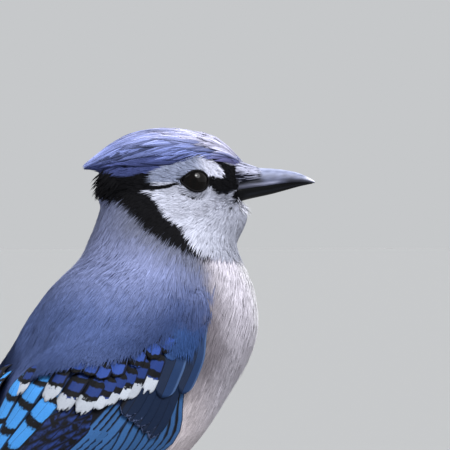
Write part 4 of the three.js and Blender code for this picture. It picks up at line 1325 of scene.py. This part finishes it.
def vane_look(
    name, web, dark_web=DUSK, dark_until=0.3, bars=0, bar_share=0.35, bow=0.0, fuzz=0.05, stagger=1.0,
    patchy=0.0, tip=None, tip_from=1.0, rim=None, outer_edge=None, barbs=60, shaft_half=0.018, lean=0.0,
):
    """A feather: outer and inner web, cross bars, a tip, dark margins that are partly its own edge and partly
    painted shade between feathers, its shaft and its fine barbs.
    """
    look = Look(f"{name}_vane")
    maths, scaled, ramp, blend = look.maths, look.scaled, look.ramp, look.blend
    across, along, _ = look.add("SeparateXYZ", {0: look.add("UVMap", uv_map="Vane")["UV"]})
    tone = look.add("SeparateColor", {0: look.painted("Tone")})
    from_shaft = maths("ABSOLUTE", maths("SUBTRACT", across, 0.5))
    from_lean = maths("SUBTRACT", across, 0.5 + lean / 4)
    squared = maths("MULTIPLY", from_lean, from_lean)
    barb_wave = maths("SINE", maths("MULTIPLY", scaled(from_shaft, -0.4, along), barbs * WAVE_TURN))
    grain, fine = look.noise(900, 3), look.noise(2400, 2)
    colour = blend(ramp(across, dark_until - 0.05, dark_until + 0.05), dark_web, web)
    if bars:
        last = (0.5 - bars * (tip_from - 0.05) % 1) / bars - 0.5 * stagger / bars - 0.12 / bars
        shift = scaled(tone[2], stagger / bars, maths("ADD", along, last))
        wobble = scaled(grain, 0.25 / bars, scaled(squared, bow, shift))
        phase = maths("FRACT", maths("MULTIPLY", wobble, bars))
        centred = maths("ABSOLUTE", maths("SUBTRACT", phase, 0.5))
        mask = ramp(centred, bar_share / 2 + fuzz, bar_share / 2 - fuzz)
        if patchy:
            mask = maths("MAXIMUM", mask, ramp(look.noise(420, 3), 0.5 - patchy / 2, 0.62))
        colour = blend(mask, colour, BLACK)
    if outer_edge is not None:
        colour = blend(maths("MULTIPLY", ramp(across, 0.86, 0.95), 0.8), colour, outer_edge)
    # Dark margin: partly the feather's own dark edge, partly painted shade between neighbouring feathers
    if rim is not None:
        margin = ramp(scaled(grain, 0.06, from_shaft), 0.41, 0.46)
        colour = blend(maths("MULTIPLY", margin, 0.92), colour, rim)
    if shaft_half:
        colour = blend(ramp(from_shaft, shaft_half, shaft_half * 0.5), colour, BLACK)
    if tip is not None:
        reach = maths("SUBTRACT", scaled(squared, 0.12, along), 0.11)
        colour = blend(ramp(scaled(grain, 0.22, reach), tip_from - 0.012, tip_from + 0.012), colour, tip)
    light = scaled(barb_wave, 0.06, scaled(tone[0], 0.24, 0.8))
    light = scaled(fine, 0.3, maths("SUBTRACT", light, 0.1))
    toned = look.add("CombineColor", {channel: light for channel in range(3)})[0]
    return look.finish(blend(1.0, colour, toned, "MULTIPLY"), 0.6, 0.12, barb_wave, 0.00008, 0.5)


# Wings: tiers of feathers told by rows of order, places along and angle from root to tip, half width.
# Each tier's lift is its height over the wing's space for its first and last feather; its feathers lean
# towards one edge at their tips, and sink into the wing until they have risen.

FLIGHT_LOOK = dict(web=STEEL_BLUE, outer_edge=STEEL_PALE, rim=NAVY, shaft_half=0.03)
WING_TIERS = [
    dict(
        name="primaries", vane="primary", count=9, lift=(0.35, -0.3), camber=0.3, tilt=0.35, sink=1.5,
        rows=[
            [0, 20, 78, 32, 80, 45, 82.5, 87, 52, 3.3], [0.5, 8, 86, 24, 94, 40, 97.5, 92, 58, 3.1],
            [1, -6, 91, 12, 101, 30, 113, 95, 64, 2.4]],
        look=dict(FLIGHT_LOOK, dark_until=0.6, barbs=150)),
    dict(
        name="secondaries", vane="secondary", count=4, lift=(0.45, 0.36), camber=0.25, tilt=0.3, sink=2,
        rows=[[0, 18, 70, 46, 66, 83, 50, 3.6], [1, 16, 77, 44, 77, 86, 58, 3.6]],
        look=dict(FLIGHT_LOOK, dark_until=0.56, barbs=120)),
    dict(
        name="inner_secondaries", vane="inner_secondary", count=5, lift=(0.7, 0.55), camber=0.3, tilt=0.3,
        sink=3, rows=[[0, 22, 46, 46, 43, 76, 27, 3.9], [1, 20, 66, 45, 62, 82, 46, 3.7]],
        look=dict(web=COBALT_DARK, dark_until=0.5, bars=9, bar_share=0.5, bow=0.6, fuzz=0.25, patchy=0.35,
                  rim=DUSK, barbs=120)),
    dict(
        name="tertials", vane="tertial", count=3, lift=(1.0, 0.8), camber=0.5, tilt=0.2, fray=0.01, sink=4,
        lean=0.4, rows=[
            [0, 20, 13, 38, 12, 60, 6, 3.4], [0.5, 18, 26, 38, 25, 64, 12, 3.8],
            [1, 19, 42, 41, 37.5, 70, 19, 4.0]],
        look=dict(web=AZURE, dark_until=0.05, bars=5, bar_share=0.29, bow=0.12, tip=WHITE, tip_from=0.95,
                  rim=DUSK, barbs=90, shaft_half=0.008)),
    dict(
        name="primary_coverts", vane="primary_covert", count=5, lift=(0.7, 0.6), camber=0.2, tilt=0.3,
        fray=0.02, sink=1.5, rows=[
            [0, 6, 77, 17, 78, 28, 80, 3.2], [0.5, 4, 82, 16, 86, 28.5, 90, 3.2],
            [1, -2, 88, 12, 94, 29.5, 101, 3.0]],
        look=dict(web=NAVY, dark_until=0.2, tip=COVERT_TIP, tip_from=0.985)),
    dict(
        name="greater_coverts", vane="greater_covert", count=9, lift=(1.0, 1.0), camber=0.45, tilt=0.4,
        fray=0.1, sink=3.5, lean=0.2, rows=[
            [0, 20, 17, 28.5, 17.2, 36.5, 17, 2.7], [0.125, 17, 34, 26, 36.5, 35.5, 38, 3.0],
            [0.25, 17, 46, 27, 47.5, 37, 48, 3.1], [0.375, 15, 54, 25, 57, 35, 58.5, 3.1],
            [0.5, 12, 59.5, 22, 62.2, 31.5, 63.2, 3.0], [0.75, 6, 67, 15.5, 69.3, 25.5, 70.3, 2.8],
            [0.875, 2, 70, 12, 73, 23.5, 74.3, 2.8], [1, -3, 75, 8, 78.5, 18.5, 80, 3.2]],
        look=dict(web=COBALT_DARK, dark_until=0.25, bars=3.7, bar_share=0.42, bow=0.2, stagger=0.3, tip=WHITE,
                  tip_from=0.71, rim=DUSK, barbs=44, shaft_half=0)),
    dict(
        name="alula", vane="alula", count=2, lift=(1.25, 1.0), camber=0.2, tilt=0.25, sink=3.5, risen=0.6,
        rows=[[0, -12, 85, 3, 87, 16, 89.5, 4.0], [1, -15, 92, -3, 96.5, 11, 99, 3.4]],
        look=dict(web=ALULA_BLUE, dark_web=NAVY, dark_until=0.5, outer_edge=ALULA_EDGE)),
    dict(
        name="median_coverts", vane="median_covert", count=9, lift=(1.2, 1.2), camber=0.35, tilt=0.3,
        fray=0.05, sink=3.5, lean=0.2, risen=0.75, rows=[
            [0, 14, 27, 20, 28, 26, 28, 3.0], [0.3, 10, 43, 16, 44, 22.5, 45, 3.2],
            [0.5, 8, 54, 14, 55, 21.5, 55.5, 3.2], [0.65, 4, 61, 10, 62, 17.5, 63, 3.1],
            [0.8, -3, 68, 3, 70, 10, 71.5, 3.1], [1, -12, 76, -5, 77, 3.5, 78.5, 3.2]],
        look=dict(web=COBALT, dark_until=0.2, bars=2.4, bar_share=0.4, bow=0.2, stagger=0.5, rim=DUSK,
                  barbs=34, shaft_half=0)),
    dict(
        name="lesser_coverts", vane="lesser_covert", count=3, lift=(1.0, 0.9), camber=0.35, tilt=0.3,
        fray=0.04, sink=3.5, lean=0.2, risen=0.8,
        rows=[[0, -8, 80, -2, 81.5, 4, 83.5, 3.0], [1, -13, 85, -7, 87.5, 0, 89.5, 2.6]],
        look=dict(web=LESSER_BLUE, dark_until=0.1, barbs=26, rim=NAVY, shaft_half=0)),
]


def wing_vane(tier, order, side):
    row = curve(tier["rows"], np.array(order))
    stops = row[:-1].reshape(-1, 2)
    knots = (0, 0.5, 1) if len(stops) == 3 else (0, 0.25, 0.5, 1)
    spine = np.column_stack([knots, stops])
    lift = mix(*tier["lift"], order)

    def place(t, across, height):
        t = np.broadcast_to(t, across.shape)
        s, degrees = curve(spine, t)
        s_before, degrees_before = curve(spine, t - 0.02)
        s_after, degrees_after = curve(spine, t + 0.02)
        _, depth, width = curve(WING, s)
        angle = degrees * DEG
        arc = np.hypot(depth * np.sin(angle), width * np.cos(angle))
        run_s, run_arc = s_after - s_before, (degrees_after - degrees_before) * DEG * arc
        size = np.hypot(run_s, run_arc)
        run_s, run_arc = run_s / size, run_arc / size
        raised = lift + height - tier["sink"] * (1 - smoothstep(t / tier.get("risen", 0.42)))
        return body_point(WING, s - run_arc * across, angle + run_s * across / arc, side, raised)

    return vane_form(place, row[-1], tier["camber"], tier["tilt"], tier.get("fray", 0), tier.get("lean", 0))


def make_wings():
    looks = [vane_look(tier["vane"], lean=tier.get("lean", 0), **tier["look"]) for tier in WING_TIERS]
    for side_name, side in SIDES:
        for tier, look in zip(WING_TIERS, looks):
            vanes = [wing_vane(tier, order, side) for order in np.linspace(0, 1, tier["count"])]
            name = f"{tier['name']}_{side_name}"
            feather_piece(name, vanes, look, (f"wing_{side_name}",), side == RIGHT)


# Tail

TAIL_PAIRS = [[128, 1.5], [127, 3.5], [125, 5.5], [122, 7.5], [118, 9.2], [112, 10.8]]
TAIL_LAYER = 0.85
TAIL_HALF_WIDTH = 9.6


def tail_vane(order, side):
    length, spread = TAIL_PAIRS[order]
    level = TAIL_LAYER * ((len(TAIL_PAIRS) - 1) / 2 - order + (1 if order == 0 and side == RIGHT else 0))

    def place(t, across, height):
        centre = side * spread * (0.35 + 0.65 * t)
        return tail_point(mix(4, length, t), centre + side * across, level + height + 0 * across)

    return vane_form(place, TAIL_HALF_WIDTH, 0.35, -0.35)


def make_tail():
    look = vane_look(
        "tail", TAIL_BLUE, dark_until=0, bars=17, bar_share=0.26, bow=0.02, tip=WHITE, tip_from=0.93,
        barbs=170, shaft_half=0.012)
    for side_name, side in SIDES:
        vanes = [tail_vane(order, side) for order in range(len(TAIL_PAIRS))]
        feather_piece(f"tail_{side_name}", vanes, look, ("tail",), side == LEFT)


make_wings()
make_tail()


# Bill

UPPER_BILL = [
    [13, 4.7, 4.6], [15.8, 4.6, 4.3], [20.3, 4.45, 3.7], [25, 4.2, 3], [30, 3.65, 2.25], [34, 2.75, 1.6],
    [37, 1.5, 0.95], [38.8, 0.55, 0.55], [39.6, -0.1, 0.25],
]
LOWER_BILL = [
    [12, -7.8, 4.6], [13.2, -7.5, 4.5], [15.8, -6.5, 4.1], [20, -5.5, 3.5], [25, -4.4, 2.8], [30, -3.05, 2],
    [34.7, -1.75, 1.3], [37, -1.25, 0.8], [38.9, -0.85, 0.2],
]
# Height of the line where the mandibles meet
MOUTH = [[8, -4.3], [13, -3], [18, -2.2], [23.4, -1.4], [29, -0.65], [34.5, -0.3], [38.4, -0.5], [39.7, -0.6]]
# Half width of the painted highlight along the upper mandible's lower edge
TOMIUM_HALF = 0.4


def bill_form(table, gap):
    forward = ways_down(table, 70)
    edge_height, width = curve(table, forward)
    mouth = curve(MOUTH, forward)[0] + gap
    a = np.linspace(0, np.pi, 33)[None, :]
    outer = head_point(forward, width * np.cos(a), mouth + (edge_height - mouth) * np.sin(a) ** 0.85)
    a = np.linspace(np.pi, 0, 11)[None, 1:-1]
    return loft(np.concatenate([outer, head_point(forward, width * 0.9 * np.cos(a), mouth)], 1))


def upper_bill_paint(points):
    forward, _, up = head_place(points)
    mouth, = curve(MOUTH, forward)
    top, _ = curve(UPPER_BILL, forward)
    high = (up - mouth) / np.maximum(top - mouth, 0.2)
    grain = 0.5 + 0.5 * wavy(points, 3.5, 31, 3)
    # Painted light from above: the mandible lighter towards its top
    colour = tint(srgb(72, 76, 96), srgb(116, 122, 148), past(high, 0.2, 0.6))
    colour = colour * (0.8 + 0.4 * grain)[:, None]
    # Painted highlight along the culmen
    colour = tint(colour, srgb(164, 170, 194), 0.7 * past(high, 0.86, 0.12))
    # Painted shade towards the root and low on the front; the nostril is a dark spot
    root_shade = until(forward, 23.5, 3) * until(high, 0.66, 0.3)
    front_shade = past(forward, 27, 5) * until(high, 0.5, 0.35)
    nostril = near(high - 0.62, 0.1) * near(forward - 20.8, 1.3)
    dark = np.maximum(np.maximum(0.85 * root_shade, 0.85 * front_shade), nostril)
    colour = tint(colour, srgb(15, 16, 22), dark)
    # Painted highlight along the lower edge of the upper mandible
    tomium_highlight = near(up - mouth - 0.45, TOMIUM_HALF) * until(forward, 29, 4)
    colour = tint(colour, srgb(146, 149, 174), 0.85 * tomium_highlight)
    # Painted highlight along the top near the tip
    tip = past(forward, 35.5, 3) * past(high, 0.35, 0.4)
    return tint(colour, srgb(205, 204, 212), 0.85 * tip)


def lower_bill_paint(points):
    forward, _, up = head_place(points)
    mouth, = curve(MOUTH, forward)
    low, _ = curve(LOWER_BILL, forward)
    deep = (mouth - up) / np.maximum(mouth - low, 0.2)
    # Painted highlight: a grey line along the middle of the black lower mandible
    grey = 0.7 * near(deep - 0.62, 0.14) * past(forward, 14, 4)
    return tint(srgb(6, 7, 9), srgb(30, 32, 38), grey)


def horn_look(name, roughness, specular):
    look = Look(name)
    streaks, mottle = look.noise((160, 160, 900), 4), look.noise(420, 3)
    colour = look.toned("Horn", look.ramp(streaks, 0.3, 0.7), (0.78, 0.78, 0.8), [1.15] * 3)
    rough = look.scaled(mottle, 0.25, roughness - 0.12)
    return look.finish(colour, rough, specular, streaks, 0.0001, 0.5)


def make_bill():
    rows = (
        ("upper", UPPER_BILL, -0.12, upper_bill_paint, 0.42, 0.2),
        ("lower", LOWER_BILL, 0.0, lower_bill_paint, 0.5, 0.1),
    )
    for part, table, gap, paint, roughness, specular in rows:
        form = bill_form(table, gap)
        mesh = new_mesh(f"bill_{part}_form", *form)
        set_colours(mesh, "Horn", paint(form[0]))
        look = horn_look(f"bill_{part}_horn", roughness, specular)
        new_piece(f"bill_{part}_form", mesh, look, (f"bill_{part}",))


make_bill()


# Legs, feet and claws

PERCH_RADIUS, PERCH_HEIGHT, PERCH_LENGTH = 8, 103, 106
FOOT_CLEARANCE = 0.35
TOES = [
    dict(name="inner", start=2, end=78, spread=-7.5, radius=1.25),
    dict(name="middle", start=2, end=98, spread=0, radius=1.35),
    dict(name="outer", start=2, end=82, spread=7.5, radius=1.25),
    dict(name="hind", start=-6, end=-82, spread=-1, radius=1.4),
]
TARSUS = [[0, 1.9], [0.16, 1.75], [0.3, 1.4], [0.6, 1.35], [0.85, 1.6], [1, 1.7]]
CLAW_ANGLE = 44
TOE_JOINTS = 3


def perch_point(angle, y, radius):
    angle, y, radius = np.broadcast_arrays(angle, y, radius)
    return np.stack([radius * np.sin(angle), y, PERCH_HEIGHT + radius * np.cos(angle)], -1)


def toe_form(toe, side):
    t = np.linspace(0, 1, 40)
    pads = 1 + 0.09 * np.cos(2 * np.pi * TOE_JOINTS * t)
    radius = toe["radius"] * mix(1.08, 0.82, t) * pads
    y = -side * (FEET_APART / 2 + toe["spread"] * np.minimum(t * 1.5, 1))
    path = perch_point(mix(toe["start"], toe["end"], t) * DEG, y, PERCH_RADIUS + FOOT_CLEARANCE + radius)
    return loft(limb(path, radius, 16))


def claw_form(toe, side):
    turn = np.sign(toe["end"])
    t = np.linspace(0, 1, 24)
    arch = 0.9 * np.sin(t * np.pi) - 0.55 * t
    radius = PERCH_RADIUS + FOOT_CLEARANCE + toe["radius"] * 0.85 + arch
    y = -side * (FEET_APART / 2 + toe["spread"])
    path = perch_point((toe["end"] - turn * 2 + turn * (CLAW_ANGLE + 4) * t) * DEG, y, radius)
    return loft(limb(path, mix(toe["radius"] * 0.74, 0.12, t ** 1.2), 12))


def tarsus_form(side):
    ankle, heel = leg_point(ANKLE, side), leg_point(HEEL, side)
    pad = perch_point(0, -side * FEET_APART / 2, PERCH_RADIUS + FOOT_CLEARANCE + 1.9)
    foot = pad + np.linspace(0, 1, 8)[:-1, None] * (ankle - pad)
    shaft = ankle + np.linspace(0, 1.25, 40)[:, None] * (heel - ankle)
    path = np.concatenate([foot, shaft])
    radius, = curve(TARSUS, np.linspace(0, 1, len(path)))
    return loft(limb(path, radius, 18))


def scale_look():
    look = Look("leg_scales")
    inputs = {"Vector": look.stretched((520, 520, 900)), "Scale": 1.0}
    cells = look.add("TexVoronoi", inputs, feature="DISTANCE_TO_EDGE")["Distance"]
    groove = look.ramp(cells, 0.0, 0.14)
    colour = look.blend(groove, srgb(16, 15, 16), srgb(58, 54, 56))
    colour = look.blend(look.maths("MULTIPLY", look.noise(1800, 3), 0.4), colour, srgb(34, 32, 36))
    return look.finish(colour, 0.5, 0.4, groove, 0.0002, 0.9)


def make_legs():
    scales = scale_look()
    dark, pale = srgb(12, 11, 12), srgb(44, 40, 42)
    horn = grained_look("claw_horn", (900, 300, 900), 3, dark, pale, 0.32, 0.5, None, 0.0001, 0.5)
    for side_name, side in SIDES:
        leg = merged([tarsus_form(side)] + [toe_form(toe, side) for toe in TOES])
        nodes = (f"foot_{side_name}", f"tarsus_{side_name}")
        new_piece(f"leg_{side_name}", leg, scales, nodes)
        for toe in TOES:
            name = f"claw_{toe['name']}_{side_name}"
            new_piece(f"{name}_horn", claw_form(toe, side), horn, (name,))


make_legs()


# Perch and stand

BASE_RADIUS, BASE_HEIGHT, BASE_ROUNDING = 60, 10, 1.8
GROOVE_RADIUS, GROOVE_DEPTH = 51.3, 0.35
ROD_RADIUS, ROD_SPACING = 2.5, 60


def perch_form():
    half = PERCH_LENGTH / 2
    y = np.concatenate([[-half] * 3, np.linspace(-half + 0.6, half - 0.6, 150), [half] * 3])[:, None]
    rounding = [0.35, 0.8, 0.97]
    end = np.concatenate([rounding, np.ones(len(y) - 6), rounding[::-1]])[:, None]
    a = round_angles(90)
    bark = 0.10 * np.sin(5 * a + y / 9) + 0.10 * np.sin(11 * a - y / 5 + 2) + 0.07 * np.sin(23 * a + y / 3)
    knots = 0.5 * near(y - 37, 4) * near(np.cos(a) - 0.9, 0.32)
    knots = knots + 0.5 * near(y + 41, 5) * near(np.sin(a) + 0.8, 0.32)
    radius = (PERCH_RADIUS - 0.25 + np.where(np.abs(y) > 26, bark, bark * 0.4) + knots) * end
    return loft(perch_point(a, y, radius))


def bark_look():
    look = Look("perch_bark")
    long_grain = look.noise((420, 60, 420), 6, 0.6)
    colour = look.blend(look.ramp(long_grain, 0.35, 0.65), srgb(66, 56, 46), srgb(128, 114, 98))
    patches = look.maths("MULTIPLY", look.ramp(look.noise(110, 3), 0.52, 0.68), 0.6)
    colour = look.blend(patches, colour, srgb(122, 130, 104))
    half = PERCH_LENGTH / 2 * MM
    along = look.add("SeparateXYZ", {0: look.place})["Y"]
    end = look.ramp(look.maths("ABSOLUTE", along), half - 0.0004, half - 0.0001)
    about_axis = look.add("Mapping", {"Vector": look.place, "Location": (0, 0, -PERCH_HEIGHT * MM)})["Vector"]
    inputs = {"Vector": about_axis, "Scale": 300, "Distortion": 3}
    rings = look.add("TexWave", inputs, wave_type="RINGS", rings_direction="Y")["Fac"]
    cut = look.blend(rings, srgb(206, 180, 140), srgb(172, 140, 100))
    return look.finish(look.blend(end, colour, cut), 0.85, 0.2, long_grain, 0.0006, 0.8)


def turned_form(profile, y=0.0, sides=96):
    """A turned form about a vertical axis, from rows of height and radius, bottom first."""
    height, radius = np.array(profile, float).T[..., None]
    a = round_angles(sides)
    rings = np.broadcast_arrays(radius * np.cos(a), y + radius * np.sin(a), height)
    return loft(np.stack(rings, -1))


def base_form():
    corner = BASE_RADIUS - BASE_ROUNDING
    rounding = [
        [BASE_HEIGHT - BASE_ROUNDING * (1 - np.sin(a)), corner + BASE_ROUNDING * np.cos(a)]
        for a in np.linspace(0, np.pi / 2, 9)
    ]
    foot = [[0, BASE_RADIUS - 1], [0.3, BASE_RADIUS - 0.3], [1, BASE_RADIUS]]
    low = BASE_HEIGHT - GROOVE_DEPTH
    ways = ((BASE_HEIGHT, 0.7), (low, 0.3), (low, -0.3), (BASE_HEIGHT, -0.7))
    groove = [[height, GROOVE_RADIUS + way] for height, way in ways]
    return turned_form(foot + rounding + groove + [[BASE_HEIGHT, 10]], sides=144)


def rod_form(y):
    low, high = BASE_HEIGHT + 0.05, PERCH_HEIGHT - PERCH_RADIUS + 0.15
    r = ROD_RADIUS
    collar = [[low, 4.6], [low + 1.2, 4.6], [low + 1.7, 4.1], [low + 2.2, r + 0.1], [low + 2.6, r]]
    cup = [[high - 2.4, r], [high - 2, r + 0.5], [high - 0.4, r + 0.6], [high, r]]
    return turned_form(collar + cup, y, 40)


def wood_look():
    look = Look("stand_walnut")
    inputs = {"Vector": look.stretched((6, 60, 20)), "Scale": 1.6, "Distortion": 7, "Detail": 3}
    rings = look.add("TexWave", inputs, bands_direction="Y")["Fac"]
    pores = look.noise((60, 1400, 900), 4)
    colour = look.blend(rings, srgb(58, 36, 24), srgb(104, 70, 46))
    dark_pores = look.maths("MULTIPLY", look.ramp(pores, 0.55, 0.75), 0.6)
    colour = look.blend(dark_pores, colour, srgb(34, 20, 14))
    return look.finish(colour, look.scaled(pores, 0.25, 0.28), 0.5, pores, 0.0001, 0.5)


def steel_look():
    look = Look("rod_steel")
    look.shader["Metallic"].default_value = 1.0
    brushed = look.noise((300, 300, 9000), 3)
    colour = look.blend(brushed, srgb(168, 168, 166), srgb(206, 206, 204))
    return look.finish(colour, look.scaled(brushed, 0.2, 0.22), 0.5, brushed, 0.00003, 0.4)


def make_stand():
    new_piece("perch_branch", perch_form(), bark_look(), ("perch",))
    new_piece("stand_base_form", base_form(), wood_look(), ("stand_base",))
    steel = steel_look()
    for number, y in ((1, -ROD_SPACING / 2), (2, ROD_SPACING / 2)):
        name = f"stand_rod_{number}"
        new_piece(f"{name}_form", rod_form(y), steel, (name,))


make_stand()


# Floor, light and camera

FLOOR_HALF = 60000
BACKDROP = srgb(198, 200, 202)
VIEW_TURN = 30 * DEG
VIEW_AWAY = np.array([np.sin(VIEW_TURN), np.cos(VIEW_TURN), 0])
VIEW_RIGHT = np.array([np.cos(VIEW_TURN), -np.sin(VIEW_TURN), 0])
AIM = 36 * VIEW_RIGHT + 226 * UP
FRAME_WIDTH = 150
CAMERA_DISTANCE = 2500
SENSOR = 36


def make_floor():
    dark, pale = srgb(139, 140, 141), srgb(141, 142, 143)
    h = FLOOR_HALF
    corners = np.array([(-h, -h, 0), (h, -h, 0), (h, h, 0), (-h, h, 0)], float)
    mesh = new_mesh("floor", corners, np.array([(0, 1, 2, 3)]), NO_TRIANGLES)
    mesh.materials.append(grained_look("pale_floor", 60, 4, dark, pale, 0.9, 0.02))
    linked("floor", mesh)


def facing(way):
    """The turn of a camera or light that looks this way."""
    return Vector(way).to_track_quat("-Z", "Y").to_euler()


def make_camera():
    data = bpy.data.cameras.new("camera")
    data.sensor_width = SENSOR
    data.lens = SENSOR * CAMERA_DISTANCE / FRAME_WIDTH
    data.clip_end = 200
    camera = linked("camera", data)
    camera.location = Vector((AIM - CAMERA_DISTANCE * VIEW_AWAY) * MM)
    camera.rotation_euler = facing(VIEW_AWAY)
    bpy.context.scene.camera = camera


def soft_light(name, right, away, up, strength, spread):
    """A broad distant light that comes from this way, seen from the camera."""
    data = bpy.data.lights.new(name, "SUN")
    data.energy = strength
    data.angle = spread * DEG
    toward = right * VIEW_RIGHT + away * VIEW_AWAY + up * UP
    linked(name, data).rotation_euler = facing(-toward)


make_floor()
make_camera()
soft_light("key", 0.52, -0.6, 0.72, 2.7, 35)
soft_light("side", 0.95, -0.15, 0.35, 1.1, 90)
soft_light("top", -0.65, -0.05, 0.9, 1.9, 60)
soft_light("catch", 0.4, -0.7, 0.75, 1.9, 13)
world = bpy.data.worlds.new("studio")
world.use_nodes = True
background = world.node_tree.nodes["Background"].inputs
background["Color"].default_value = (*BACKDROP, 1)
background["Strength"].default_value = 1.0
bpy.context.scene.world = world
bpy.context.scene.view_settings.view_transform = "Standard"
